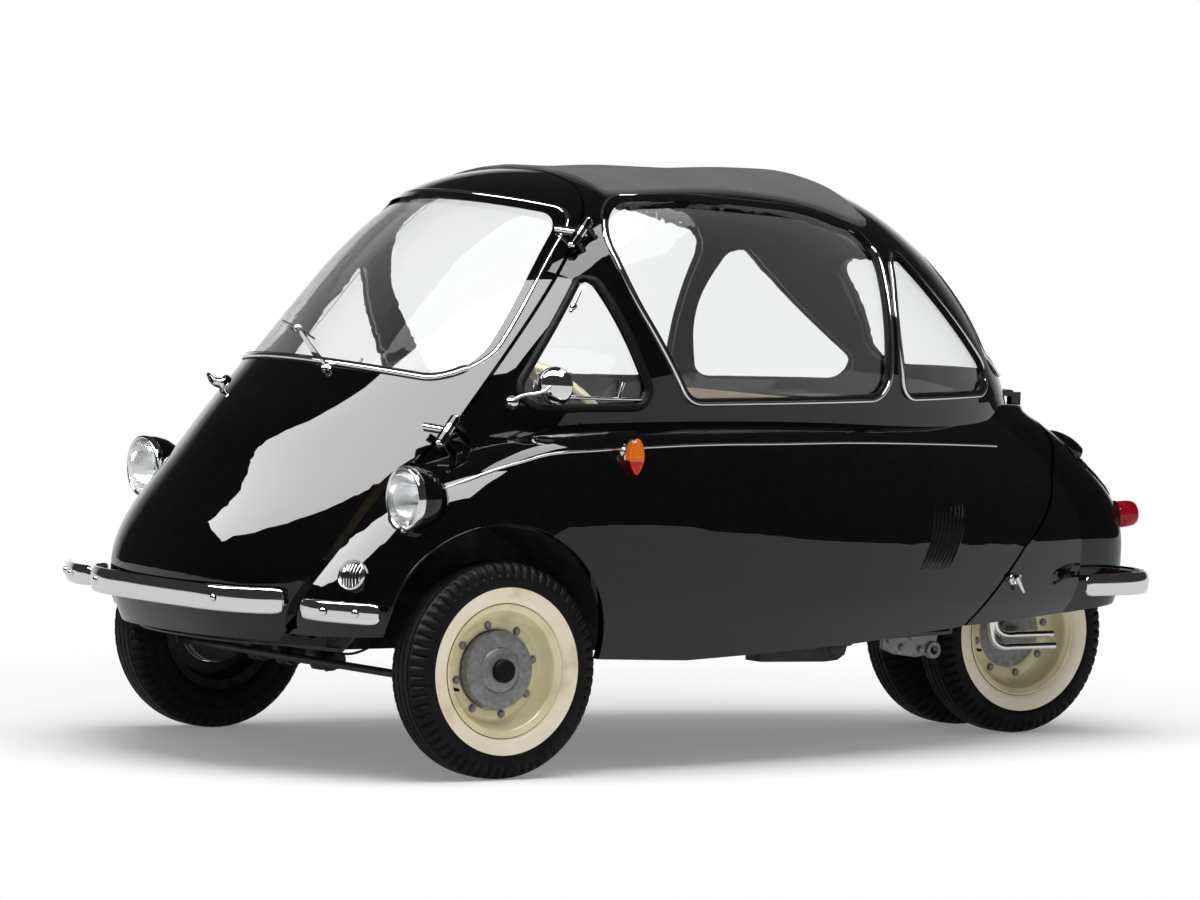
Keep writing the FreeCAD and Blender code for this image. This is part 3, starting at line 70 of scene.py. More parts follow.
def in_edit(piece, *steps):
    """Run operators on the whole of a mesh in edit mode."""
    only(piece)
    bpy.ops.object.mode_set(mode="EDIT")
    for step in steps:
        bpy.ops.mesh.select_all(action="SELECT")
        step()
    bpy.ops.object.mode_set(mode="OBJECT")
    return piece


def face_outwards():
    """An edit step: turn every normal to the outside."""
    bpy.ops.mesh.normals_make_consistent(inside=False)


def settle(piece):
    """Put the object at the origin, with its place in its mesh."""
    only(piece)
    bpy.ops.object.transform_apply(location=True, rotation=True, scale=True)
    return piece


def with_modifier(piece, kind, **settings):
    """Add a modifier, set it and apply it."""
    only(piece)
    modifier = piece.modifiers.new(kind.title(), kind)
    for key, value in settings.items():
        setattr(modifier, key, value)
    bpy.ops.object.modifier_apply(modifier=modifier.name)
    return piece


def smooth(piece, degrees=40):
    """Shade smooth, but keep edges sharp that turn by more than the angle."""
    only(piece)
    bpy.ops.object.shade_smooth_by_angle(angle=math.radians(degrees))
    return piece


def dress(piece, *materials):
    """Give a piece these materials and no others."""
    piece.data.materials.clear()
    for material in materials:
        piece.data.materials.append(material)
    return piece


def riding(piece, body, slot, *replaced):
    """Let a finished piece ride on a CAD body, and hide the CAD parts it replaces."""
    settle(piece)
    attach(piece, body)
    if replaced:
        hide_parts(*replaced)
    return piece


def middle_of(node):
    """The middle of a CAD node's box."""
    low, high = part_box(node)
    return (low + high) / 2


# %% [markdown]
# ## Camera
# A long lens from far away keeps the car's lines nearly parallel, as in a
# catalogue picture. The camera stands ahead of the front wheel, a little higher
# than the roof, and looks down by about three degrees.

# %% Place the camera
AZIMUTH, ELEVATION, ROLL = [math.radians(angle) for angle in (56.863, 3.161, 1.403)]
away = Vector((math.sin(AZIMUTH) * math.cos(ELEVATION), -math.cos(AZIMUTH) * math.cos(ELEVATION),
               math.sin(ELEVATION)))
level = Vector((math.cos(AZIMUTH), math.sin(AZIMUTH), 0.0))
upright = away.cross(level)
right = level * math.cos(ROLL) + upright * math.sin(ROLL)
up = upright * math.cos(ROLL) - level * math.sin(ROLL)
bpy.ops.object.camera_add()
camera = bpy.context.object
camera.matrix_world = Matrix((right, up, away)).transposed().to_4x4()
camera.location = (13.615, -8.981, 1.569)
camera.data.lens = 213.42
camera.data.sensor_width = 36.0
camera.data.clip_end = 200.0
bpy.context.scene.camera = camera
print("camera", camera.location, camera.data.lens)

# %% [markdown]
# ## Studio
# Black gloss paint shows what stands around it, so the studio matters more than
# the paint. A white floor shows in the lower flanks, a pale wall far behind the car
# lights its edges, and long soft boxes overhead draw the bright bands on the nose
# and wings. The wall could be a plane, but then it would light the car as well. So
# it is painted into the world, where only gloss sees it. The background itself is
# plain white: Light Path tells the world which rays look straight at it.

# %% Helpers for node materials
def fresh_nodes(owner):
    """An empty node tree of a material or world."""
    owner.use_nodes = True
    owner.node_tree.nodes.clear()
    return owner.node_tree


def put(tree, kind, **inputs):
    """Add a node and set its inputs by name; a socket as value makes a link."""
    node = tree.nodes.new(kind)
    for key, value in inputs.items():
        fill(tree, node, key.replace("_", " "), value)
    return node


def fill(tree, node, key, value):
    """Set one input: numbers are set on the socket, sockets are linked."""
    target = node.inputs[key]
    if isinstance(value, bpy.types.NodeSocket):
        tree.links.new(value, target)
    else:
        target.default_value = value


def grey(level):
    """An opaque grey, from 0 for black to 1 for white."""
    return (level, level, level, 1.0)


def ramp(tree, factor, *stops):
    """Colour ramp through (position, colour) stops."""
    node = put(tree, "ShaderNodeValToRGB", Fac=factor)
    elements = node.color_ramp.elements
    while len(elements) < len(stops):
        elements.new(0.5)
    for element, (position, colour) in zip(elements, stops):
        element.position = position
        element.color = grey(colour) if isinstance(colour, float) else (*colour, 1.0)
    return node.outputs["Color"]


def arithmetic(tree, operation, *values):
    """A Math node on numbers or sockets."""
    node = tree.nodes.new("ShaderNodeMath")
    node.operation = operation
    for number, value in enumerate(values):
        fill(tree, node, number, value)
    return node.outputs[0]


def between(tree, value, start, end, low=0.0, high=1.0):
    """Map the range from start to end onto the range from low to high."""
    return put(tree, "ShaderNodeMapRange", Value=value, From_Min=start, From_Max=end, To_Min=low, To_Max=high)


def blend(tree, factor, first, second=None):
    """Mix two shader nodes; without a second one, the first fades to black."""
    node = put(tree, "ShaderNodeMixShader", Fac=factor)
    for number, shader in enumerate((first, second), start=1):
        if shader:
            tree.links.new(shader.outputs[0], node.inputs[number])
    return node


# %% Light the surroundings
PAST_THE_CAR = (-0.837, 0.547)
WALL_SIDES = (0.80, 0.95)
WALL_TOP = (0.30, 0.12)
WALL_LEVEL, REST_LEVEL, MATT_LEVEL = 0.9, 0.035, 0.32
world = bpy.data.worlds.new("studio")
bpy.context.scene.world = world
tree = fresh_nodes(world)
direction = put(tree, "ShaderNodeSeparateXYZ", Vector=put(tree, "ShaderNodeTexCoord").outputs["Generated"])
ahead = arithmetic(tree, "ADD", *[arithmetic(tree, "MULTIPLY", direction.outputs[axis], share)
                                  for axis, share in zip("XY", PAST_THE_CAR)])
slope = arithmetic(tree, "ABSOLUTE", direction.outputs["Z"])
wall = arithmetic(tree, "MULTIPLY", between(tree, ahead, *WALL_SIDES).outputs[0],
                  between(tree, slope, *WALL_TOP).outputs[0])
mirror_level = arithmetic(tree, "MULTIPLY_ADD", wall, WALL_LEVEL, REST_LEVEL)
rays = put(tree, "ShaderNodeLightPath").outputs
soft_light = put(tree, "ShaderNodeBackground", Color=grey(1.0), Strength=MATT_LEVEL)
seen_in_gloss = put(tree, "ShaderNodeBackground", Color=mirror_level, Strength=1.0)
plain_white = put(tree, "ShaderNodeBackground", Color=grey(1.0), Strength=1.0)
looks_through = arithmetic(tree, "MAXIMUM", rays["Is Camera Ray"], rays["Is Transmission Ray"])
by_gloss = blend(tree, rays["Is Glossy Ray"], soft_light, seen_in_gloss)
by_view = blend(tree, looks_through, by_gloss, plain_white)
put(tree, "ShaderNodeOutputWorld", Surface=by_view.outputs[0])
print("world nodes", len(tree.nodes))

# %% [markdown]
# A real studio lights the car and its reflections with the same boxes. Here they
# are kept apart, which is easier to control: one broad lamp overhead lights
# everything that is matt, and is hidden from gloss. The others are only seen as
# reflections: a long box over the nose, whose end shows as a bright band down the
# bonnet, and a small one over the wing.

# %% Hang the soft boxes
def soft_box(name, place, turn, size, brightness, in_gloss):
    """A rectangular lamp; brightness is its radiance, where 1 is the white of the floor."""
    bpy.ops.object.light_add(type="AREA", location=place)
    lamp = bpy.context.object
    lamp.name = name
    lamp.data.shape = "RECTANGLE"
    lamp.data.size, lamp.data.size_y = size
    lamp.data.energy = brightness * math.pi * size[0] * size[1]
    lamp.rotation_euler = [math.radians(angle) for angle in turn]
    lamp.visible_camera = False
    lamp.visible_glossy = in_gloss
    lamp.visible_diffuse = not in_gloss


soft_box("broad_overhead", (0.6, -0.3, 3.6), (0, 8, 0), (3.4, 4.0), 3.0, False)
soft_box("nose_band", (-0.15, -2.7, 3.0), (0, 0, 33), (6.0, 1.25), 12.0, True)
soft_box("wing_band", (1.05, -0.25, 3.0), (0, 0, 20), (0.75, 1.5), 8.0, True)

# %% [markdown]
# The floor is a large plane. Near the car it is a matt white surface that takes the
# soft shadows. Farther out it glows a plain white of its own, so that it runs into
# the background without a line. Reflections see it a little darker than it is.

# %% Lay the floor
MATT_WITHIN, GLOWS_FROM = 1.1, 2.6
FLOOR_LEVEL, FLOOR_LIFT, LOST_IN_GLOSS = 0.92, 0.20, 0.3
bpy.ops.mesh.primitive_plane_add(size=60.0)
floor = bpy.context.object
floor.name = "studio_floor"
floor_finish = bpy.data.materials.new("studio_floor")
tree = fresh_nodes(floor_finish)
distance = put(tree, "ShaderNodeVectorMath", Vector=put(tree, "ShaderNodeTexCoord").outputs["Object"])
distance.operation = "LENGTH"
far_out = between(tree, distance.outputs["Value"], MATT_WITHIN, GLOWS_FROM)
far_out.interpolation_type = "SMOOTHSTEP"
matt = put(tree, "ShaderNodeBsdfDiffuse", Color=grey(FLOOR_LEVEL))
lift = put(tree, "ShaderNodeEmission", Color=grey(1.0), Strength=FLOOR_LIFT)
glow = put(tree, "ShaderNodeEmission", Color=grey(1.0), Strength=1.0)
near = put(tree, "ShaderNodeAddShader")
tree.links.new(matt.outputs[0], near.inputs[0])
tree.links.new(lift.outputs[0], near.inputs[1])
rays = put(tree, "ShaderNodeLightPath").outputs
reflected = arithmetic(tree, "SUBTRACT", rays["Is Glossy Ray"], rays["Is Transmission Ray"])
dimmed = blend(tree, arithmetic(tree, "MULTIPLY", reflected, LOST_IN_GLOSS),
               blend(tree, far_out.outputs[0], near, glow))
put(tree, "ShaderNodeOutputMaterial", Surface=dimmed.outputs[0])
dress(floor, floor_finish)
bpy.context.scene.view_settings.view_transform = "Standard"
print("floor nodes", len(tree.nodes))

# %% [markdown]
# ## Finishes
# Each finish is one Principled shader. Small procedural patterns on the object's
# own coordinates vary its colour, roughness and height, because no real surface is
# the same all over. Values that are the same everywhere are set on the shader itself.

# %% A Principled finish with a little variation
def principled(name, colour, roughness, **extra):
    """Principled material; returns it with its tree, shader and coordinates."""
    material = bpy.data.materials.new(name)
    tree = fresh_nodes(material)
    shader = put(tree, "ShaderNodeBsdfPrincipled", Roughness=roughness, Base_Color=(*colour, 1.0), **extra)
    put(tree, "ShaderNodeOutputMaterial", Surface=shader.outputs[0])
    print("finish", name)
    return material, tree, shader, put(tree, "ShaderNodeTexCoord").outputs["Object"]


def mottled(tree, place, scale, detail):
    """A cloudy pattern of values from 0 to 1."""
    return put(tree, "ShaderNodeTexNoise", Vector=place, Scale=scale, Detail=detail).outputs["Fac"]


def raised(tree, shader, height, strength, distance):
    """Feed a height into the shader's normal."""
    bump = put(tree, "ShaderNodeBump", Height=height, Strength=strength, Distance=distance)
    tree.links.new(bump.outputs[0], shader.inputs["Normal"])


def vary(tree, shader, place, patches=None, dulled=None, bumps=None):
    """Mottle colour, roughness and height; each pattern starts with its scale and detail."""
    if patches:
        fill(tree, shader, "Base Color", ramp(tree, mottled(tree, place, *patches[:2]), *patches[2:]))
    if dulled:
        dullness = between(tree, mottled(tree, place, *dulled[:2]), 0.3, 0.7, *dulled[2:])
        fill(tree, shader, "Roughness", dullness.outputs[0])
    if bumps:
        raised(tree, shader, mottled(tree, place, *bumps[:2]), *bumps[2:])


def finish(name, colour, roughness, patches=None, dulled=None, bumps=None, **extra):
    """A material whose only variation is mottled."""
    material, *parts = principled(name, colour, roughness, **extra)
    vary(*parts, patches, dulled, bumps)
    return material


# %% [markdown]
# Black coachwork paint is nearly pure black under a hard, clear lacquer. The
# lacquer has a very slight orange peel, and a trace of dust makes it a little less
# sharp in places.

# %% Paint
paint = finish("black_paint", (0.003, 0.003, 0.0035), 0.25,
               patches=(40.0, 5.0, (0.4, (0.0022, 0.0022, 0.0026)), (0.8, (0.0042, 0.0041, 0.004))),
               dulled=(3.0, 3.0, 0.2, 0.3), Coat_Weight=1.0, Coat_Roughness=0.012, Specular_IOR_Level=0.0)

# %% [markdown]
# Chrome is a metal with almost no roughness. Faint smears in the roughness and a
# very light unevenness in the plating keep it from looking like a computer's mirror.
# Bare steel, as on the wiper blade, is darker and less sharp.

# %% Chrome and steel
chrome = finish("chrome", (0.82, 0.83, 0.84), 0.06, dulled=(18.0, 5.0, 0.03, 0.10),
                bumps=(60.0, 3.0, 0.03, 0.002), Metallic=1.0)
steel = finish("bright_steel", (0.55, 0.56, 0.58), 0.22, dulled=(40.0, 6.0, 0.14, 0.3), Metallic=1.0)

# %% [markdown]
# Rubber comes twice: black for the seals and tyres, which is dull and faintly dusty,
# and the aged cream of the tyres' white walls, with brownish stains.

# %% Rubber
rubber = finish("black_rubber", (0.004, 0.004, 0.004), 0.55,
                patches=(25.0, 6.0, (0.3, (0.0020, 0.0022, 0.0024)), (0.8, (0.0065, 0.0065, 0.0065))),
                dulled=(60.0, 3.0, 0.45, 0.7), bumps=(350.0, 3.0, 0.15, 0.001), Specular_IOR_Level=0.18)
white_wall = finish("white_wall_rubber", (0.6, 0.53, 0.42), 0.6,
                    patches=(9.0, 7.0, (0.22, (0.55, 0.40, 0.24)), (0.42, (0.84, 0.74, 0.56)),
                             (0.8, (0.93, 0.88, 0.75))),
                    dulled=(9.0, 7.0, 0.7, 0.5), bumps=(220.0, 3.0, 0.1, 0.001))

# %% [markdown]
# The wheels are painted cream, and the brake drums are cast aluminium with a fine
# grain. Iron parts under the car are black with a film of oil.

# %% Wheel and chassis finishes
cream = finish("cream_paint", (0.50, 0.48, 0.33), 0.3,
               patches=(14.0, 6.0, (0.25, (0.60, 0.53, 0.31)), (0.5, (0.76, 0.69, 0.43)),
                        (0.8, (0.82, 0.76, 0.52))), Coat_Weight=0.4, Coat_Roughness=0.15)
aluminium = finish("cast_aluminium", (0.32, 0.32, 0.32), 0.5, patches=(90.0, 8.0, (0.3, 0.20), (0.75, 0.34)),
                   bumps=(500.0, 3.0, 0.12, 0.001), Metallic=0.6)
dark_iron = finish("oily_black_iron", (0.02, 0.02, 0.02), 0.45, Metallic=0.4,
                   patches=(30.0, 6.0, (0.3, 0.008), (0.8, 0.04)), bumps=(120.0, 6.0, 0.3, 0.002))

# %% [markdown]
# Upholstery, fabric and plastics. The roof is a coarse coated cloth, so a fine
# crossed weave lifts its surface. The trim is tan leathercloth with a soft grain,
# and the steering wheel is ivory plastic.

# %% Cloth, leathercloth and plastic
roof_cloth, *parts = principled("roof_cloth", (0.035, 0.035, 0.037), 0.75, Sheen_Weight=0.25,
                                Sheen_Roughness=0.5)
vary(*parts, patches=(6.0, 6.0, (0.3, (0.028, 0.028, 0.030)), (0.75, (0.050, 0.050, 0.052))))
tree, shader, place = parts
warp, weft = (put(tree, "ShaderNodeTexWave", Vector=place, Scale=260.0) for _ in range(2))
weft.bands_direction = "Y"
weave = arithmetic(tree, "MULTIPLY", warp.outputs["Fac"], weft.outputs["Fac"])
raised(tree, shader, weave, 0.25, 0.0006)

tan, *parts = principled("tan_leathercloth", (0.45, 0.33, 0.20), 0.5)
vary(*parts, patches=(8.0, 5.0, (0.3, (0.40, 0.29, 0.17)), (0.75, (0.50, 0.38, 0.25))))
tree, shader, place = parts
grain = put(tree, "ShaderNodeTexVoronoi", Vector=place, Scale=420.0)
raised(tree, shader, grain.outputs["Distance"], 0.25, 0.0006)

ivory = finish("ivory_plastic", (0.62, 0.54, 0.38), 0.3, Coat_Weight=0.3,
               patches=(20.0, 3.0, (0.3, (0.55, 0.47, 0.32)), (0.8, (0.66, 0.58, 0.42))))

# %% [markdown]
# Glass and coloured lenses let light through. Real glass would make the cabin's
# light hard to find for the renderer, so for shadow rays only the pane counts as clear.

# %% Glass and lenses
SHADOW_CLEARNESS = 0.9


def clear(name, colour, roughness, transmission=1.0):
    """Principled glass that casts only a faint shadow."""
    material, tree, shader, place = principled(name, colour, roughness, IOR=1.45,
                                               Transmission_Weight=transmission)
    shadow_colour = (*[SHADOW_CLEARNESS * level for level in colour], 1.0)
    gap = put(tree, "ShaderNodeBsdfTransparent", Color=shadow_colour)
    shadow_ray = put(tree, "ShaderNodeLightPath").outputs["Is Shadow Ray"]
    out = next(node for node in tree.nodes if node.type == "OUTPUT_MATERIAL")
    tree.links.new(blend(tree, shadow_ray, shader, gap).outputs[0], out.inputs["Surface"])
    return material, tree, shader, place


glass, *parts = clear("window_glass", (0.97, 0.98, 0.98), 0.0)
vary(*parts, dulled=(5.0, 6.0, 0.0, 0.012))
lamp_glass, *parts = clear("fluted_lamp_glass", (0.95, 0.96, 0.96), 0.02)
vary(*parts, dulled=(25.0, 3.0, 0.01, 0.05))
red_lens, tree, shader, place = clear("red_lens", (0.34, 0.004, 0.012), 0.08, 0.55)
ribs = put(tree, "ShaderNodeTexWave", Vector=place, Scale=60.0)
raised(tree, shader, ribs.outputs["Fac"], 0.3, 0.001)

# %% [markdown]
# The side lamp is one drop of plastic, moulded amber at the top and red below, so
# its colour follows the height.

# %% Side lamp plastic
amber_lens, tree, shader, place = clear("amber_and_red_lens", (0.9, 0.3, 0.02), 0.1, 0.55)
height = put(tree, "ShaderNodeSeparateXYZ", Vector=place).outputs["Z"]
drop_low, drop_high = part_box("side_indicators")
share = between(tree, height, drop_low.z, drop_high.z).outputs[0]
fill(tree, shader, "Base Color", ramp(tree, share, (0.36, (0.55, 0.012, 0.012)), (0.40, (0.85, 0.24, 0.02))))

# %% [markdown]
# ## Three ways of making parts
# Most parts of a car are made in one of three ways, and so are they here. Turned
# parts, such as wheels, lamps and caps, are a section spun round an axle. Swept
# parts, such as beads, bumpers and rods, are a section drawn along a line. Small
# fixings are modelled once and copied. Sections and lines are given in millimetres.

# %% Turned parts
MERGED, TOO_SMALL = 0.00003, 0.00002


def turned(name, section, centre, outward, steps, crease=35):
    """Spin a closed section of (offset, radius) round an axle through centre."""
    outward = Vector(outward).normalized()
    sideways = outward.orthogonal().normalized()
    centre = Vector(centre)
    bpy.ops.mesh.primitive_circle_add(vertices=len(section), radius=0.01)
    piece = bpy.context.object
    piece.name = name
    for vertex, (offset, radius) in zip(piece.data.vertices, section):
        vertex.co = centre + (outward * offset + sideways * radius) / 1000
    in_edit(piece,
            lambda: bpy.ops.mesh.spin(steps=steps, angle=2 * math.pi, center=centre, axis=outward),
            lambda: bpy.ops.mesh.remove_doubles(threshold=MERGED),
            lambda: bpy.ops.mesh.dissolve_degenerate(threshold=TOO_SMALL), face_outwards)
    return smooth(piece, crease)


# %% Faces picked by their place
def selected(piece, kind, wanted):
    """Select only the wanted faces or edges, and stay in edit mode."""
    only(piece)
    bpy.ops.object.mode_set(mode="EDIT")
    bpy.ops.mesh.select_mode(type=kind)
    bpy.ops.mesh.select_all(action="DESELECT")
    bpy.ops.object.mode_set(mode="OBJECT")
    for item in piece.data.polygons if kind == "FACE" else piece.data.edges:
        item.select = wanted(item)
    bpy.ops.object.mode_set(mode="EDIT")


def on_faces(piece, wanted, *steps):
    """Run edit operators on the faces for which wanted(face) is true."""
    selected(piece, "FACE", wanted)
    for step in steps:
        step()
    bpy.ops.object.mode_set(mode="OBJECT")


def colour_faces(piece, index, wanted):
    """Give the faces for which wanted(face) is true another material slot."""
    for face in piece.data.polygons:
        if wanted(face):
            face.material_index = index


# %% Swept parts
def section_curve(profile):
    """A closed flat curve that swept() draws along its path."""
    bpy.ops.curve.primitive_bezier_circle_add()
    section = bpy.context.object
    section.data.splines.clear()
    spline = section.data.splines.new("POLY")
    spline.points.add(len(profile) - 1)
    for point, (out, up) in zip(spline.points, profile):
        point.co = (out / 1000, up / 1000, 0, 1)
    spline.use_cyclic_u = True
    return section


def swept(name, path, radius, closed=False, curved=True, sides=3, profile=None, sizes=None, fine=6):
    """Draw a round section, or a profile of (out, up), along a path of points in metres."""
    bpy.ops.curve.primitive_bezier_curve_add()
    piece = bpy.context.object
    piece.name = name
    curve = piece.data
    curve.splines.clear()
    spline = curve.splines.new("BEZIER")
    spline.bezier_points.add(len(path) - 1)
    for number, (point, place) in enumerate(zip(spline.bezier_points, path)):
        point.co = place
        point.handle_left_type = point.handle_right_type = "AUTO" if curved else "VECTOR"
        point.radius = sizes[number] if sizes else 1.0
    spline.use_cyclic_u = closed
    spline.resolution_u = fine if curved else 1
    curve.dimensions = "3D"
    curve.twist_mode = "Z_UP" if profile else "MINIMUM"
    curve.use_fill_caps = not closed
    if profile:
        section = section_curve(profile)
        curve.bevel_mode = "OBJECT"
        curve.bevel_object = section
    else:
        curve.bevel_depth = radius / 1000
        curve.bevel_resolution = sides
    only(piece)
    bpy.ops.object.convert(target="MESH")
    if profile:
        bpy.data.objects.remove(section)
    in_edit(piece, lambda: bpy.ops.mesh.remove_doubles(threshold=MERGED), face_outwards)
    return smooth(settle(piece), 50)


# %% Copies, mirror images and joints
def joined(name, parts):
    """Join several objects into one piece."""
    bpy.ops.object.select_all(action="DESELECT")
    for part in parts:
        part.select_set(True)
    bpy.context.view_layer.objects.active = parts[0]
    if len(parts) > 1:
        bpy.ops.object.join()
    piece = bpy.context.object
    piece.name = name
    return settle(piece)


def doubled(piece, place):
    """A copy of a piece with its own mesh, at another place."""
    copy = piece.copy()
    copy.data = piece.data.copy()
    copy.parent = None
    bpy.context.collection.objects.link(copy)
    copy.matrix_world = place
    return copy


def copied(name, pattern, places, axis):
    """Copy a small pattern to several places with its top along an axis."""
    turn = Vector(axis).to_track_quat("Z", "Y").to_matrix().to_4x4()
    return joined(name, [doubled(pattern, Matrix.Translation(place) @ turn) for place in places])


def on_both_sides(name, piece):
    """The piece and its mirror image as one object."""
    twin = doubled(piece, Matrix.Scale(-1, 4, Vector((1, 0, 0))))
    return joined(name, [piece, in_edit(settle(twin), face_outwards)])


# %% [markdown]
# Lengths along the car are easiest to think of as stations, in millimetres behind
# the front axle. Points on the bodywork are found by shooting a ray at the CAD
# panel, so that trim lies exactly on the metal.

# %% Stations and points on the bodywork
FRONT_AXLE = middle_of("front_left_drum")
REAR_AXLE = middle_of("rear_rims")


def at(x, station, z):
    """A point in metres, from millimetres across, behind the front axle and up."""
    return Vector((x / 1000, FRONT_AXLE.y + station / 1000, z / 1000))


def from_side(node, station, z, lift=0.0):
    """The point of a panel's left flank at a station and height, and its normal."""
    _, place, normal, _ = nodes[node].ray_cast(at(900, station, z), Vector((-1, 0, 0)))
    return place + normal * lift / 1000, normal


def from_above(node, x, station, lift=0.0):
    """The point of a panel's top that lies over x and a station."""
    _, place, normal, _ = nodes[node].ray_cast(at(x, station, 2000), Vector((0, 0, -1)))
    return place + normal * lift / 1000


print("front axle", FRONT_AXLE, "rear axle", REAR_AXLE)

# %% [markdown]
# ## Hexagon bolt
# One small bolt serves for the wheels, lamps, wiper and castings: a hexagon head
# with chamfered corners on a thin round washer.

# %% Model the bolt once
bpy.ops.mesh.primitive_cylinder_add(vertices=6, radius=0.0075, depth=0.006, location=(0, 0, 0.0035))
bolt_head = with_modifier(bpy.context.object, "BEVEL", width=0.0008, segments=2)
bpy.ops.mesh.primitive_cylinder_add(vertices=24, radius=0.0095, depth=0.0018, location=(0, 0, 0.0004))
washer = with_modifier(bpy.context.object, "BEVEL", width=0.0004, segments=1)
bolt = smooth(joined("bolt_pattern", [bolt_head, washer]), 30)
print("bolt faces", len(bolt.data.polygons))

# %% [markdown]
# ## Finishes for the CAD parts that stay
# Many CAD parts already have their true shape. They keep their mesh and only get a
# finish. What comes later replaces the parts whose shape needs more.

# %% Give every CAD part its finish
FINISHES = (
    (paint, "cabin_shell", "lower_body", "front_door", "tail_cover", "air_scoops", "door_hinge_brackets"),
    (dark_iron, "floor_pan", "wheel_wells", "rear_bulkhead", "seat_frame", "front_axle_tube",
     "front_swing_arms", "engine_cradle", "rear_swing_arm", "left_knuckle", "right_knuckle", "track_rod",
     "pedals", "steering_column"),
    (chrome, "headlamps", "horn_grille", "front_corner_bumpers", "centre_bumper", "exterior_mirror",
     "door_hinge_arms", "door_handle", "rear_bumpers", "tail_latches", "exhaust_pipes"),
    (aluminium, "engine_block", "rear_axle", "front_left_drum", "front_right_drum"),
    (glass, "windscreen", "side_windows", "vent_windows", "rear_window"),
    (lamp_glass, "headlamp_lenses"),
    (amber_lens, "side_indicators"),
    (red_lens, "tail_lights"),
    (roof_cloth, "fabric_roof"),
    (tan, "front_seat", "front_backrest", "rear_seat"),
    (ivory, "steering_wheel"),
    (steel, "wiper"),
    (cream, "front_left_rim", "front_right_rim", "rear_rims"),
    (rubber, "front_left_tyre", "front_right_tyre", "rear_tyres"),
)
for material, *names in FINISHES:
    for name in names:
        for material_slot in nodes[name].material_slots:
            material_slot.material = material
print("dressed", sum(len(row) - 1 for row in FINISHES), "of", len(nodes), "CAD parts")

# %% [markdown]
# ## Tyres
# A small cross-ply tyre with a wide white wall. The section is a rounded trapezium
# with four grooves round the tread. Spun round the axle it gives the tyre. The
# short slots across both shoulders are pushed in afterwards, by insetting every
# third face of the shoulder bands and lowering it.

# %% Tyre section
HALF_TYRE = ((41, 139), (45.2, 147.6), (48.5, 150.5), (52, 157), (54.6, 167), (55.6, 178), (55.7, 182.6),
             (54.6, 183.8), (54.9, 186), (55.9, 188), (56, 197), (55.2, 207), (53.4, 215), (50.8, 221.5),
             (47.2, 227.5), (42, 232.3), (35.5, 235.2), (30, 236.0), (29, 231.5), (26.5, 231.5),
             (25.5, 236.4), (11, 236.9), (10, 232), (7.5, 232), (6.5, 237))
TYRE_SECTION = HALF_TYRE + tuple((-offset, radius) for offset, radius in reversed(HALF_TYRE))
TYRE_STEPS, SLOT_EVERY = 192, 3
SLOT_RIM, SLOT_DEPTH = 0.0009, 0.0032
SHOULDER_OFFSET, SHOULDER_RADIUS = 38, 207
WALL_OFFSET, WALL_START, WALL_END = 40, 146, 183


# %% Make the tyres
def tyre(name, centre, outward):
    """Spin a tyre, cut its slots and colour its white wall."""
    outward = Vector(outward)
    piece = dress(turned(name, TYRE_SECTION, centre, outward, TYRE_STEPS), rubber, white_wall)

    def polar(face):
        """Offset along the axle and radius in millimetres, and the angle round it."""
        arm = face.center - centre
        offset = arm.dot(outward)
        arm = arm - outward * offset
        return offset * 1000, arm.length * 1000, math.atan2(arm.z, arm.y)

    def in_slot(face):
        offset, radius, angle = polar(face)
        number = int((angle + math.pi) / (2 * math.pi) * TYRE_STEPS)
        return abs(offset) > SHOULDER_OFFSET and radius > SHOULDER_RADIUS and number % SLOT_EVERY == 0

    def is_white(face):
        offset, radius, _ = polar(face)
        return offset > WALL_OFFSET and WALL_START < radius < WALL_END

    on_faces(piece, in_slot,
             lambda: bpy.ops.mesh.inset(thickness=SLOT_RIM, depth=-SLOT_DEPTH, use_even_offset=False))
    colour_faces(piece, 1, is_white)
    return piece


REAR_WHEEL_WIDTH = 0.092
rear_offset = (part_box("rear_rims")[1].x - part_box("rear_rims")[0].x - REAR_WHEEL_WIDTH) / 2
SIDES = (("left", 1), ("right", -1))
WHEELS = [("front_" + side, middle_of(f"front_{side}_tyre"), Vector((sign, 0, 0))) for side, sign in SIDES]
REAR_WHEELS = [("rear_" + side, Vector((sign * rear_offset, REAR_AXLE.y, REAR_AXLE.z)), Vector((sign, 0, 0)))
               for side, sign in SIDES]
for name, centre, outward in WHEELS:
    riding(tyre("tyre_" + name, centre, outward), name + "_wheel", "tyre", name + "_tyre")
rear_pair = [tyre("tyre_" + name, centre, outward) for name, centre, outward in REAR_WHEELS]
riding(joined("tyres_rear", rear_pair), "rear_wheels", "tyre", "rear_tyres")
print("rear wheels stand", rear_offset, "from the middle")

# %% [markdown]
# ## Rims, drums and hubs
# The pressed rims have a rolled lip, a bead seat, a well and a stepped disc. Eight
# bolts hold each disc. On the front wheels the aluminium drum comes through the
# disc, with a low boss and a black cap in its middle.

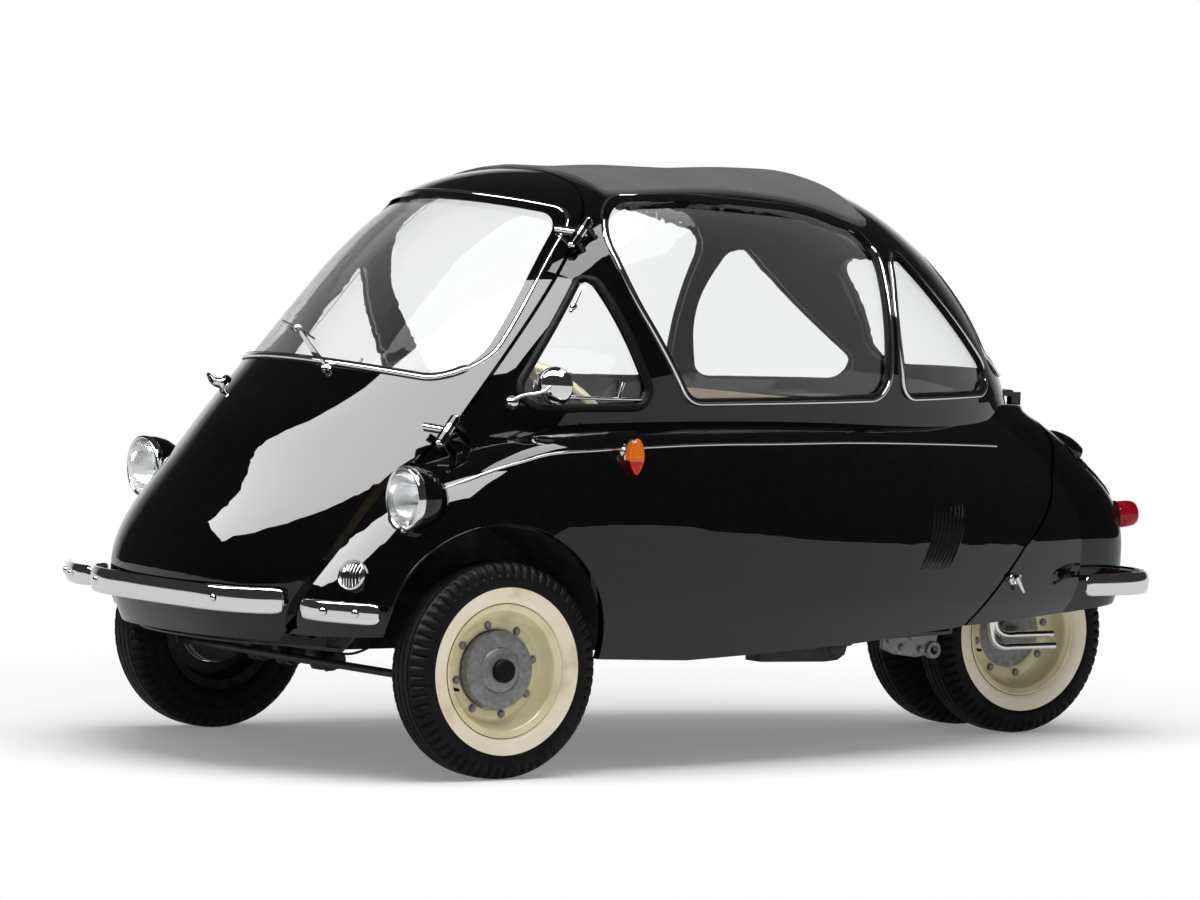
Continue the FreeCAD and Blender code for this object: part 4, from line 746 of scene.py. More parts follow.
# %% Rim sections
RIM_LIP = ((43.5, 138.5), (44.5, 144.5), (46.2, 146.3), (48.2, 145.6), (48.8, 143.2), (47.4, 140.6),
           (44.6, 138.2), (42.6, 133.5), (40, 130.6), (36, 129.4))
RIM_BACK = ((-8, 116), (-20, 123), (-40, 126), (-43, 138), (-46, 146), (-44, 147), (-41, 131),
            (-22, 127.5), (-6, 124), (10, 127), (22, 131), (38, 133))
FRONT_RIM = RIM_LIP + ((24, 127.5), (14, 124), (6, 118.5), (2.5, 114), (1.5, 110.5), (3.5, 108), (4, 104),
                       (3.5, 92), (2, 88.5), (-2, 86), (-5, 86), (-3, 90), (-1, 112)) + RIM_BACK
REAR_RIM = RIM_LIP + ((24, 127.5), (12, 124.5), (2, 119), (-3, 114), (-4.5, 110.5), (-2.5, 108), (-2, 104),
                      (-2.5, 92), (-4, 88.5), (-7, 84), (-10, 84), (-7, 90), (-6, 110)) + RIM_BACK
BOLT_COUNT, BOLT_RADIUS, BOLTS_START = 8, 99, 0.2
FRONT_BOLTS, REAR_BOLTS = 3.5, -2.5
VALVE_OFFSET, VALVE_RADIUS, VALVE_START = 12, 119, 1.9


# %% Make the rims
def round_places(centre, outward, offset, radius, count, start):
    """Places evenly round an axle, for bolts."""
    places = []
    for number in range(count):
        turn = Matrix.Rotation(start + 2 * math.pi * number / count, 3, outward)
        places.append(centre + outward * offset / 1000 + (turn @ Vector((0, 0, 1))) * radius / 1000)
    return places


def rim(name, centre, outward, section, bolt_offset):
    """A pressed rim with its bolts and valve; its back faces take the oily black iron finish as painted shade
    for the wheel's dark inside.
    """
    pressing = dress(turned(name, section, centre, outward, 96, 40), cream, dark_iron)
    # Painted shade: the inward-facing faces on the back of the rim are coloured black iron, because the
    # inside of the wheel lies in shade.
    colour_faces(pressing, 1, lambda face: face.normal.dot(outward) < 0.3
                 and (face.center - centre).dot(outward) < 0.0)
    places = round_places(centre, outward, bolt_offset, BOLT_RADIUS, BOLT_COUNT, BOLTS_START)
    bolts = dress(copied(name + "_bolts", bolt, places, outward), aluminium)
    foot = round_places(centre, outward, VALVE_OFFSET, VALVE_RADIUS, 1, VALVE_START)[0]
    valve = swept(name + "_valve", [foot, foot + outward * 0.012, foot + outward * 0.026], 4.0,
                  sizes=[1.3, 1.0, 0.9], curved=False)
    return joined(name, [pressing, bolts, dress(valve, rubber)])


for name, centre, outward in WHEELS:
    riding(rim("rim_" + name, centre, outward, FRONT_RIM, FRONT_BOLTS), name + "_wheel", "rim_paint",
           name + "_rim")
rear_pair = [rim("rim_" + name, centre, outward, REAR_RIM, REAR_BOLTS)
             for name, centre, outward in REAR_WHEELS]
riding(joined("rims_rear", rear_pair), "rear_wheels", "rim_paint", "rear_rims")

# %% Make the drums and caps
DRUM = ((-28, 12), (-28, 80), (-26, 85), (22, 85), (25.5, 83.5), (27, 80.5), (27.5, 70), (28, 51), (27, 49.5),
        (28.5, 48), (31.5, 46.5), (34, 42), (36, 34), (37, 28), (37, 12))
CAP = ((30, 0), (30, 25.5), (46, 26), (49.5, 25.2), (51.5, 23), (52.5, 18), (53, 0))
for name, centre, outward in WHEELS:
    casting = dress(turned("drum_" + name, DRUM, centre, outward, 96, 30), aluminium)
    cap = dress(turned("drum_cap", CAP, centre, outward, 48, 50), rubber)
    riding(joined("drum_" + name, [casting, cap]), name + "_wheel", "cast_metal", name + "_drum")
print("wheels done")

# %% [markdown]
# ## Window seals
# Every pane sits in a black rubber seal. On the side windows, the rear window and
# the windscreen a bright bead is pressed into the rubber. Both follow the pane's
# edge, so the edge is measured on the CAD glass: on a merged copy, it is the border
# of the faces that look outwards.

# %% Measure the edge of each pane
CABIN_MIDDLE = at(0, 640, 780)
CABIN_HALF = Vector((0.558, 1.14, 0.532))


def outward_at(place):
    """Roughly the cabin's outward direction at a place on its skin."""
    arm = place - CABIN_MIDDLE
    return Vector([component / half ** 2 for component, half in zip(arm, CABIN_HALF)]).normalized()


def border_keys(mesh, wanted):
    """The edges that only one of the wanted faces uses."""
    uses = {}
    for face in mesh.polygons:
        if wanted(face):
            for key in face.edge_keys:
                uses[key] = uses.get(key, 0) + 1
    return [key for key, count in uses.items() if count == 1]


def edge_loops(node):
    """The border of the outer faces of a CAD node, as closed loops of points."""
    copy = doubled(nodes[node], Matrix())
    in_edit(copy, lambda: bpy.ops.mesh.remove_doubles(threshold=0.00005))
    mesh = copy.data
    beside = {}
    for first, second in border_keys(mesh, lambda face: face.normal.dot(outward_at(face.center)) > 0.5):
        beside.setdefault(first, []).append(second)
        beside.setdefault(second, []).append(first)
    loops = []
    left = set(beside)
    while left:
        here = min(left)
        loop = []
        while here is not None:
            left.discard(here)
            loop.append(mesh.vertices[here].co.copy())
            here = next((other for other in beside[here] if other in left), None)
        loops.append(loop)
    bpy.data.objects.remove(copy)
    return loops


# %% Spread points evenly along an edge
EDGE_SPACING, FEWEST_POINTS = 0.012, 12


def evenly(loop):
    """Resample a closed loop of points at an even spacing."""
    lengths = [0.0]
    for first, second in zip(loop, loop[1:] + loop[:1]):
        lengths.append(lengths[-1] + (second - first).length)
    count = max(FEWEST_POINTS, round(lengths[-1] / EDGE_SPACING))
    result, number = [], 0
    for step in range(count):
        target = lengths[-1] * step / count
        while lengths[number + 1] < target:
            number += 1
        share = (target - lengths[number]) / max(1e-9, lengths[number + 1] - lengths[number])
        result.append(loop[number].lerp(loop[(number + 1) % len(loop)], share))
    return result


def pane_edges(node):
    """The outer edge of each pane of a glass node, at an even spacing."""
    edges = [evenly(loop) for loop in edge_loops(node) if len(loop) > FEWEST_POINTS]
    print(node, "edges with", [len(edge) for edge in edges], "points")
    return edges


side_edges = pane_edges("side_windows")
vent_edges = pane_edges("vent_windows")
screen_edge = pane_edges("windscreen")
rear_edge = pane_edges("rear_window")


# %% Press the seals and beads round the panes
def moved_out(edge, across, lift):
    """The edge moved sideways, away from the pane, and lifted off the skin, in millimetres."""
    middle = sum(edge, Vector()) / len(edge)
    result = []
    for number, point in enumerate(edge):
        tangent = (edge[(number + 1) % len(edge)] - edge[number - 1]).normalized()
        normal = outward_at(point)
        side = tangent.cross(normal).normalized()
        if side.dot(point - middle) < 0:
            side = -side
        result.append(point + side * across / 1000 + normal * lift / 1000)
    return result


SEALS = (("seals_side_windows", side_edges, rubber, 7.0, 0.0, 4.5, "body"),
         ("beads_side_windows", side_edges, chrome, 4.8, 6.5, 10.0, "body"),
         ("seals_vent_windows", vent_edges, rubber, 9.5, 5.0, 7.0, "body"),
         ("seal_windscreen", screen_edge, rubber, 11.5, 3.0, 3.0, "door"),
         ("bead_windscreen", screen_edge, chrome, 6.2, 3.5, 11.0, "door"),
         ("seal_rear_window", rear_edge, rubber, 6.5, 0.5, 3.5, "body"),
         ("bead_rear_window", rear_edge, chrome, 4.8, 6.5, 10.0, "body"))
for name, edges, material, radius, across, lift, body in SEALS:
    rings = [swept(name, moved_out(edge, across, lift), radius, closed=True, fine=2) for edge in edges]
    riding(dress(joined(name, rings), material), body, "rubber" if material == rubber else "chrome")

# %% [markdown]
# ## Bumpers
# The bumpers are pressed from chromed strip: a bulged outer face, a rolled top edge
# and rounded ends. One section is drawn along each plan line, and it shrinks at the
# ends to round them. Domed bolts hold each front blade.

# %% Bumper section
ROUNDING = ((0, 0.55), (0.004, 0.80), (0.012, 0.94), (0.026, 1.0))
STRIP_STEPS, STRIP_METAL = 18, 4.0


def strip_section(height, bulge):
    """Closed section of (out, up) for a pressed strip, with rolled edges."""
    half = height / 2
    turns = [math.pi * (step / STRIP_STEPS - 0.5) for step in range(STRIP_STEPS + 1)]
    outer = [(bulge * math.cos(turn) ** 0.6, half * math.sin(turn)) for turn in turns]
    inner = [(bulge * math.cos(turn) ** 0.6 - STRIP_METAL, half * 0.84 * math.sin(turn))
             for turn in turns[-2:0:-2]]
    return outer + inner


def bumper(name, node, plan, bulge):
    """Sweep the strip section along a plan of (x, station), as high as the CAD bumper."""
    low, high = (corner.z * 1000 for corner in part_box(node))
    path = [at(x, station, (low + high) / 2) for x, station in plan]
    first, last = (path[1] - path[0]).normalized(), (path[-2] - path[-1]).normalized()
    path = ([path[0] + first * way for way, _ in ROUNDING] + path[1:-1]
            + [path[-1] + last * way for way, _ in reversed(ROUNDING)])
    ends = [size for _, size in ROUNDING]
    sizes = ends + [1.0] * (len(plan) - 2) + ends[::-1]
    blade = swept(name, path, 0, profile=strip_section(high - low, bulge), sizes=sizes, fine=10)
    print(name, "stands", round(high - low), "mm high")
    return dress(blade, chrome)


# %% Press the bumpers
CENTRE_PLAN = ((-390, -399), (-352, -450), (-258, -492), (-130, -504), (0, -507), (130, -504), (258, -492),
               (352, -450), (390, -399))
CORNER_PLAN = ((466, -398), (520, -399), (588, -382), (648, -356), (681, -334))
REAR_PLAN = ((396, 1762), (362, 1952), (250, 2017), (185, 2021), (122, 2022))
centre = bumper("centre_bumper_blade", "centre_bumper", CENTRE_PLAN, 12)
corner = bumper("corner_bumper_blade", "front_corner_bumpers", CORNER_PLAN, 10)
quarter = bumper("quarter_bumper_blade", "rear_bumpers", REAR_PLAN, 11)

# %% Round-headed bumper bolts
bpy.ops.mesh.primitive_uv_sphere_add(segments=24, ring_count=12, radius=0.009)
dome = bpy.context.object
in_edit(dome, lambda: bpy.ops.mesh.bisect(plane_co=(0, 0, 0), plane_no=(0, 0, 1), clear_inner=True,
                                          use_fill=True),
        lambda: bpy.ops.transform.resize(value=(1, 1, 0.6)))
dress(smooth(dome, 40), chrome)
bolt_height = middle_of("centre_bumper").z * 1000
centre_places = [at(x, -502, bolt_height) for x in (-262, 262)]
corner_places = [at(560, -403, 368), at(640, -370, 368)]
centre_bolts = copied("centre_bolts", dome, centre_places, (0, -1, 0))
corner_bolts = copied("corner_bolts", dome, corner_places, (0.3, -1, 0))
riding(joined("centre_bumper_blade", [centre, centre_bolts]), "door", "chrome", "centre_bumper")
riding(on_both_sides("corner_bumper_blades", joined("corner_bumper", [corner, corner_bolts])), "body",
       "chrome", "front_corner_bumpers")
riding(on_both_sides("quarter_bumper_blades", quarter), "tail", "chrome", "rear_bumpers")
bpy.data.objects.remove(dome)

# %% [markdown]
# ## Headlamps
# Each headlamp is a black pod with a chromed rim, a polished bowl with its bulb, and
# a domed glass pressed with fine upright flutes that spread the beam. The flutes are
# real: the dome is a grid of upright columns that wave a little in and out.

# %% Lamp sections
lamp_low, lamp_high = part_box("headlamps")
LAMP_RADIUS = (lamp_high.z - lamp_low.z) / 2 * 1000
lamp_middle = Vector((lamp_high.x - LAMP_RADIUS / 1000, FRONT_AXLE.y - 0.206, (lamp_low.z + lamp_high.z) / 2))
LAMP_RIM = ((-6, 60), (2, 60), (6, 61.5), (10, 64.5), (11.5, 67), (10, 70), (5, 71), (-4, 70.5), (-9, 68.5),
            (-9, 66))
LAMP_POD = ((-8, 66), (-8, 69.5), (-20, 69), (-45, 64), (-66, 53), (-83, 37), (-93, 19), (-96, 0),
            (-92, 0), (-88, 18), (-79, 34), (-63, 50), (-42, 61), (-20, 65))
LAMP_BOWL = ((2, 60), (-6, 58), (-20, 51), (-34, 40), (-44, 26), (-48, 10), (-48, 0), (-50, 0), (-50, 11),
             (-46, 28), (-36, 42), (-21, 54), (-6, 61.5), (0, 62.5))
BULB = ((-48, 0), (-48, 7), (-36, 7), (-34, 9), (-26, 11), (-18, 8), (-14, 0))
LAMP_PARTS = ((LAMP_RIM, 96, 60, chrome), (LAMP_POD, 72, 40, paint), (LAMP_BOWL, 72, 60, chrome),
              (BULB, 24, 40, steel))
FORWARD = (0, -1, 0)

# %% Make a headlamp
lamp_parts = [dress(turned("lamp", section, lamp_middle, FORWARD, steps, crease), material)
              for section, steps, crease, material in LAMP_PARTS]
screw = copied("lamp_screw", bolt, [lamp_middle + Vector((0, -0.006, -0.0655))], FORWARD)
headlamp = joined("lamp", lamp_parts + [dress(screw, chrome)])
riding(on_both_sides("headlamp_units", headlamp), "body", "chrome", "headlamps")
print("lamp at", lamp_middle, "radius", LAMP_RADIUS)

# %% Press the fluted glass
LENS_RADIUS, LENS_FLUTES, PLAIN_EDGE = 61.5, 36, 0.92
FLUTE_DEPTH, LENS_START, LENS_BULGE = 0.35, 4, 21
bpy.ops.mesh.primitive_grid_add(x_subdivisions=LENS_FLUTES * 4, y_subdivisions=20, size=2.0)
lens = bpy.context.object
for vertex in lens.data.vertices:
    across = vertex.co.x * 0.995 * LENS_RADIUS
    height = vertex.co.y * math.sqrt(LENS_RADIUS ** 2 - across ** 2)
    share = math.hypot(across, height) / LENS_RADIUS
    flute = FLUTE_DEPTH * math.cos(math.pi * LENS_FLUTES * vertex.co.x) if share < PLAIN_EDGE else 0
    forward = LENS_START + LENS_BULGE * math.sqrt(max(0.0, 1 - share ** 2 * 0.96)) + flute
    vertex.co = lamp_middle + Vector((across, -forward, height)) / 1000
with_modifier(in_edit(lens, face_outwards), "SOLIDIFY", thickness=0.0022, offset=0.0)
dress(smooth(lens, 80), lamp_glass)
riding(on_both_sides("headlamp_glasses", lens), "body", "lamp_glass", "headlamp_lenses")

# %% [markdown]
# ## Horn grille
# Low on the left wing sits a small round grille, in front of the horn: a chromed
# ring with upright slats over a dark opening. The opening is a black rubber disc,
# painted shade for the hollow behind the slats. There is none on the right wing.

# %% Make the horn grille
GRILLE = at(524, -308, 440)
GRILLE_AXIS = Vector((0.40, -0.86, 0.30)).normalized()
GRILLE_RING = ((-10, 26), (4, 27), (9, 28.5), (10.5, 31), (8, 33.5), (0, 34), (-10, 33))
GRILLE_SHADE_DISC = ((-12, 0), (-12, 32), (1, 28), (1, 0))
SLAT_SPACING, OPENING_RADIUS = 7.4, 28.0
ring = dress(turned("grille_ring", GRILLE_RING, GRILLE, GRILLE_AXIS, 48, 60), chrome)
# Painted shade: a black rubber disc behind the slats stands for the shadowed hollow of the opening.
back = dress(turned("grille_shade_disc", GRILLE_SHADE_DISC, GRILLE, GRILLE_AXIS, 48, 30), rubber)
grille_side = GRILLE_AXIS.cross(Vector((0, 0, 1))).normalized()
grille_up = grille_side.cross(GRILLE_AXIS).normalized()
slats = []
for number in range(-3, 4):
    across = number * SLAT_SPACING
    reach = grille_up * math.sqrt(OPENING_RADIUS ** 2 - across ** 2) / 1000
    foot = GRILLE + grille_side * across / 1000 + GRILLE_AXIS * 0.004
    crown = GRILLE_AXIS * 0.009 * (1 - (across / 30) ** 2)
    slat = swept("slat", [foot - reach, foot + crown, foot + reach], 1.3, sides=2, fine=5)
    slats.append(dress(slat, chrome))
riding(joined("horn_grille_unit", [ring, back] + slats), "body", "chrome", "horn_grille")
print("slats", len(slats))

# %% [markdown]
# ## Side moulding
# A thin bright strip runs along the flank, from the wing to the tail. It is drawn
# through points found on the CAD panel, so it follows the curve of the metal.

# %% Lay the side moulding
MOULDING = ((-118, 630), (-70, 650), (-20, 669), (50, 688), (114, 703), (230, 711), (352, 716), (530, 720),
            (760, 718), (997, 715), (1200, 708), (1380, 700), (1480, 695), (1530, 692))
path = [from_side("lower_body", station, z, 1.0)[0] for station, z in MOULDING]
moulding = swept("side_moulding", path, 3.2, sizes=[0.4] + [1.0] * (len(path) - 1), fine=8)
riding(on_both_sides("side_mouldings", dress(moulding, chrome)), "body", "chrome")

# %% [markdown]
# ## Air louvres
# A patch of steep louvres in the flank lets cooling air to the engine. Each one is a
# dark slot with a thin painted lip behind it; the slot is a black rubber strip sunk
# into the flank, painted shade for the shadowed opening. The slots lean back and grow
# steeper towards the top.

# %% Press the louvres
LOUVRE_FOOT, LOUVRE_PITCH, LOUVRE_COUNT = 1174, 13.5, 8
LOUVRE_CURVE = ((0, 428), (22, 463), (39, 499), (50, 535), (56, 569))


def louvre(station, radius, lift, material):
    """One steep strip on the flank; a slot lies lower than its lip."""
    line = [from_side("lower_body", station + lean, z, lift)[0] for lean, z in LOUVRE_CURVE]
    return dress(swept("louvre", line, radius, sizes=[0.75, 1.0, 1.0, 1.0, 0.75]), material)


louvres = []
for number in range(LOUVRE_COUNT):
    station = LOUVRE_FOOT + number * LOUVRE_PITCH
    # Painted shade: the slot strip is black rubber that stands for the shadowed opening of the louvre.
    louvres.append(louvre(station, 5.5, -3.6, rubber))
    louvres.append(louvre(station + 6.0, 3.0, -0.8, paint))
riding(on_both_sides("side_louvres", joined("louvre_patch", louvres)), "body", "body_paint")

# %% [markdown]
# ## Wheel-arch edges
# The sheet metal is rolled round a wire at the wheel arch, which stiffens the edge
# and catches the light as a fine line.

# %% Roll the arch edges
ARCH_STATION, ARCH_HEIGHT, ARCH_RADIUS = -2, 294, 262
arch_path = []
for angle in range(8, 180, 8):
    station = ARCH_STATION + ARCH_RADIUS * math.cos(math.radians(angle))
    z = ARCH_HEIGHT + ARCH_RADIUS * math.sin(math.radians(angle))
    hit, place, _, _ = nodes["lower_body"].ray_cast(at(900, station, z), Vector((-1, 0, 0)))
    if hit and place.x > 0.3:
        arch_path.append(place - Vector((0.003, 0, 0)))
print("arch points", len(arch_path))
arch_edge = dress(swept("arch_edge", arch_path, 3.2, fine=4), paint)
riding(on_both_sides("arch_edges", arch_edge), "body", "body_paint")

# %% [markdown]
# ## Side lamps
# The drop-shaped side lamp sits on the moulding, on a thin chromed base. The drop is
# an icosphere stretched to its size and pulled to a point at the bottom.

# %% Make the side lamps
DROP_HALF = Vector((0.013, 0.0185, 0.0400))
SIDE_BASE = ((-6, 0), (-6, 19), (3, 19), (4.5, 17), (4.5, 0))
drop_middle = middle_of("side_indicators")
drop_middle.x = drop_high.x - DROP_HALF.x
bpy.ops.mesh.primitive_ico_sphere_add(subdivisions=5, radius=1.0)
lamp_drop = bpy.context.object
for vertex in lamp_drop.data.vertices:
    x, y, z = vertex.co * DROP_HALF
    width = 1.0 if vertex.co.z > 0 else 1.0 - 0.35 * vertex.co.z ** 2
    vertex.co = drop_middle + Vector((x * width, y * width, z))
dress(smooth(lamp_drop, 80), amber_lens)
riding(on_both_sides("side_lamp_lenses", lamp_drop), "body", "indicator_plastic", "side_indicators")
base_middle = from_side("lower_body", 322, 699)[0]
base = turned("side_lamp_base", SIDE_BASE, (0, 0, 0), (1, 0, 0), 48)
for vertex in base.data.vertices:
    vertex.co.z *= 2.05
    vertex.co += base_middle
riding(on_both_sides("side_lamp_bases", dress(base, chrome)), "body", "chrome")

# %% [markdown]
# ## Mirror
# A round chromed mirror head on a slim curved arm stands on the door pillar.

# %% Make the mirror
MIRROR_HEAD = at(570, 170, 850)
MIRROR_FOOT = at(530, 88, 812)
MIRROR_AXIS = Vector((-0.52, 0.85, 0.05)).normalized()
MIRROR_SHELL = ((0, 0), (0, 38), (1, 41.5), (-2, 43.5), (-8, 42), (-17, 34), (-24, 22), (-27, 9), (-27.5, 0),
                (-26, 0))
FOOT_SECTION = ((-8, 0), (-8, 15), (0, 14), (5, 10), (8, 6), (8, 0))
mirror_head = dress(turned("mirror_head", MIRROR_SHELL, MIRROR_HEAD, MIRROR_AXIS, 64, 50), chrome, steel)
colour_faces(mirror_head, 1, lambda face: face.normal.dot(MIRROR_AXIS) > 0.98)
neck = MIRROR_HEAD - MIRROR_AXIS * 0.024
arm_path = [MIRROR_FOOT, MIRROR_FOOT + Vector((0.014, 0.004, 0.012)),
            neck + Vector((0.002, -0.020, -0.010)), neck]
mirror_arm = dress(swept("mirror_arm", arm_path, 4.5, sizes=[1.3, 1.0, 0.85, 0.9]), chrome)
foot_axis = outward_at(MIRROR_FOOT)
mirror_foot = dress(turned("mirror_foot", FOOT_SECTION, MIRROR_FOOT, foot_axis, 32, 50), chrome)
riding(joined("mirror", [mirror_head, mirror_arm, mirror_foot]), "body", "chrome", "exterior_mirror")

# %% [markdown]
# ## Vent window fittings
# The vent panes tilt. A chromed rail and a small lever run along the lower edge of
# each, and a chromed clip holds its front edge.

# %% Make the vent fittings
VENT_RODS = (("vent_rail", 5.0, 4.0, (1.3, 1.0, 1.0, 1.3), ((196, 824), (260, 822), (330, 820), (404, 819))),
             ("vent_lever", 7.0, 3.0, (1.6, 1.0, 1.3), ((346, 822), (349, 838), (356, 856))),
             ("vent_clip", 5.0, 4.0, (1.2, 1.0, 0.9), ((250, 1008), (266, 1031), (281, 1053))))
CLIP_KNOB = ((0, 0), (0, 8), (6, 8), (9, 6), (10, 0))
fittings = []
for name, lift, radius, sizes, points in VENT_RODS:
    path = [from_side("vent_windows", station, z, lift)[0] for station, z in points]
    fittings.append(swept(name, path, radius, sizes=sizes))
knob_place, knob_axis = from_side("vent_windows", 258, 1018, 4.0)
fittings.append(turned("vent_knob", CLIP_KNOB, knob_place, knob_axis, 24, 40))
riding(on_both_sides("vent_fittings", dress(joined("vent_fitting", fittings), chrome)), "body", "chrome")

# %% [markdown]
# ## Wiper
# One flat, tapered arm comes up from its spindle below the screen, left of the
# middle, and holds a thin blade at the blade's middle.

# %% Make the wiper
WIPER_FOOT, WIPER_TIP = at(165, -170, 866), at(-50, -115, 946)
BLADE_LEFT, BLADE_RIGHT = at(60, -138, 928), at(-156, -92, 958)
SPINDLE = ((-6, 0), (-6, 13), (2, 13), (6, 11), (7, 8), (14, 8), (17, 6.5), (18.5, 3), (19, 0))
FLAT_ARM = ((-1.4, -8.5), (1.2, -8.5), (2.4, 0), (1.2, 8.5), (-1.4, 8.5))
foot_axis = outward_at(WIPER_FOOT)
spindle = dress(turned("wiper_spindle", SPINDLE, WIPER_FOOT, foot_axis, 32, 40), chrome)
arm_path = [WIPER_FOOT.lerp(WIPER_TIP, share) + foot_axis * lift
            for share, lift in ((0, 0.012), (0.35, 0.0156), (0.7, 0.0144), (1, 0.008))]
arm = dress(swept("wiper_arm", arm_path, 0, profile=FLAT_ARM, sizes=[1.4, 1.1, 0.8, 0.55]), chrome)
blade_line = [BLADE_RIGHT.lerp(BLADE_LEFT, share) + outward_at(BLADE_RIGHT) * (0.004 + bow)
              for share, bow in ((0, 0), (0.25, 0.0035), (0.5, 0.005), (0.75, 0.0035), (1, 0))]
blade = dress(swept("wiper_blade", blade_line, 2.2, sides=2), steel)
lip_line = [point - foot_axis * 0.0042 for point in blade_line]
lip = dress(swept("wiper_lip", lip_line, 1.8, sides=2), rubber)
joint = dress(copied("wiper_joint", bolt, [WIPER_TIP + foot_axis * 0.008], foot_axis), steel)
riding(joined("wiper_assembly", [spindle, arm, blade, lip, joint]), "door", "chrome", "wiper")

# %% [markdown]
# ## Door handle
# The T-shaped handle stands on a round rose on the right of the nose. It is one
# chromed casting with a gently curved grip.

# %% Make the door handle
HANDLE_PIVOT = at(-258, -196, 818)
ROSE = ((-4, 0), (-4, 18), (2, 18), (5, 15.5), (6.5, 11), (12, 9), (26, 8.5), (28, 7), (28.5, 0))
GRIP = ((-0.043, -0.008), (-0.018, 0), (0.010, 0), (0.048, -0.005))


def square_to(way, axis):
    """The part of a direction that lies square to an axis."""
    return (way - axis * way.dot(axis)).normalized()


handle_axis = outward_at(HANDLE_PIVOT)
_, rose_place, _, _ = nodes["front_door"].ray_cast(HANDLE_PIVOT + handle_axis * 0.1, -handle_axis)
rose = turned("handle_rose", ROSE, rose_place, handle_axis, 40, 40)
grip_middle = rose_place + handle_axis * 0.030
grip_way = square_to(Vector((1.0, -0.35, 0.25)), handle_axis)
grip_path = [grip_middle + grip_way * along + handle_axis * lift for along, lift in GRIP]
grip = swept("handle_grip", grip_path, 7.6, sizes=[0.75, 1.15, 1.1, 0.6], sides=5)
riding(dress(joined("handle", [rose, grip]), chrome), "door", "chrome", "door_handle")
print("rose at", rose_place)

# %% [markdown]
# ## Tail lamps
# Each tail lamp is a red dome on a dark rubber base, facing back and outwards.

# %% Make the tail lamps
TAIL_LAMP = at(242, 1948, 519)
TAIL_AXIS = Vector((0.42, 0.90, 0.12)).normalized()
TAIL_BASE = ((-6, 0), (-6, 31), (0, 33.5), (12, 33.5), (16, 32), (16, 0))
TAIL_LENS = ((14, 0), (14, 30.5), (22, 31.5), (40, 31), (52, 28.5), (60, 23), (64.5, 14), (66, 0))
tail_base = dress(turned("tail_lamp_base", TAIL_BASE, TAIL_LAMP, TAIL_AXIS, 48, 40), rubber)
tail_lens = dress(turned("tail_lamp_lens", TAIL_LENS, TAIL_LAMP, TAIL_AXIS, 48, 60), red_lens)
riding(on_both_sides("tail_lamps", joined("tail_lamp", [tail_base, tail_lens])), "tail",
       "tail_lamp_plastic", "tail_lights")

# %% [markdown]
# ## Fabric roof
# The middle of the roof is a sheet of coated cloth, stretched over the opening and
# folded down at its sides. A grid is laid on the CAD roof by rays from above, so it
# has the right crown. A few shallow waves run across it, as the cloth pulls between
# its hidden bows, and the free edges are folded down a little and turned in.

# %% Lay the cloth
ROOF_FRONT, ROOF_REAR, ROOF_MIDDLE = 426.0, 1178.0, 800
ROOF_HALF_FRONT, ROOF_HALF_REAR = 372.0, 326.0
WAVE_HEIGHT, PULL_HEIGHT, CLOTH_SUNK = 0.0022, 0.0012, 0.001
roof_low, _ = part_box("fabric_roof")
bpy.ops.mesh.primitive_grid_add(x_subdivisions=48, y_subdivisions=56, size=2.0)
roof = bpy.context.object
roof.name = "roof_sheet"


def roof_height(x, station):
    """Height of the CAD roof's top, or of its edge where the ray just misses."""
    for pull in (1.0, 0.985, 0.97, 0.94, 0.9, 0.85):
        start = at(x * pull, ROOF_MIDDLE + (station - ROOF_MIDDLE) * pull, 2000)
        hit, place, _, _ = nodes["fabric_roof"].ray_cast(start, Vector((0, 0, -1)))
        if hit:
            return place.z
    return roof_low.z


for vertex in roof.data.vertices:
    across, along = vertex.co.x, vertex.co.y
    share = (along + 1) / 2
    half = ROOF_HALF_FRONT + (ROOF_HALF_REAR - ROOF_HALF_FRONT) * share
    station = ROOF_FRONT + (ROOF_REAR - ROOF_FRONT) * share
    round_corner = max(0.0, abs(across) + abs(along) - 1.78)
    x = across * half * (1 - 0.25 * round_corner)
    wave = WAVE_HEIGHT * math.cos((along + 1) * math.pi * 2.5) * (1 - across ** 4)
    pull = PULL_HEIGHT * math.sin(9.0 * across + 4.0 * along) * across ** 2
    vertex.co = at(x, station, roof_height(x, station) * 1000) + Vector((0, 0, wave + pull - CLOTH_SUNK))
with_modifier(roof, "SMOOTH", factor=0.5, iterations=3)

# %% Fold the edges down
FOLDS = ((0.004, 1.006), (0.007, 1.003), (0.006, 0.998))
border = set(border_keys(roof.data, lambda face: True))
selected(roof, "EDGE", lambda edge: edge.key in border)
for down, wider in FOLDS:
    bpy.ops.mesh.extrude_region_move(TRANSFORM_OT_translate={"value": (0, 0, -down)})
    bpy.ops.transform.resize(value=(wider, 1.0, 1.0), center_override=(0, at(0, ROOF_MIDDLE, 0).y, 1.25))
in_edit(roof, face_outwards)
with_modifier(roof, "SOLIDIFY", thickness=0.0025, offset=-1.0)
with_modifier(roof, "SUBSURF", levels=1, render_levels=1)
riding(dress(smooth(roof, 70), roof_cloth), "body", "roof_fabric", "fabric_roof")

# %% [markdown]
# ## Seats
# The bench, its backrest and the rear seat are stuffed cushions, covered in tan
# leathercloth. Each starts as a block, a little smaller than the CAD solid. It is
# bevelled and divided, then blown up like a balloon by a short cloth simulation, so
# its faces crown and its edges stay tight.

# %% Stuff a cushion
PRESSURE, CLOTH_FRAMES, STUFFING = 4.0, 20, 0.6


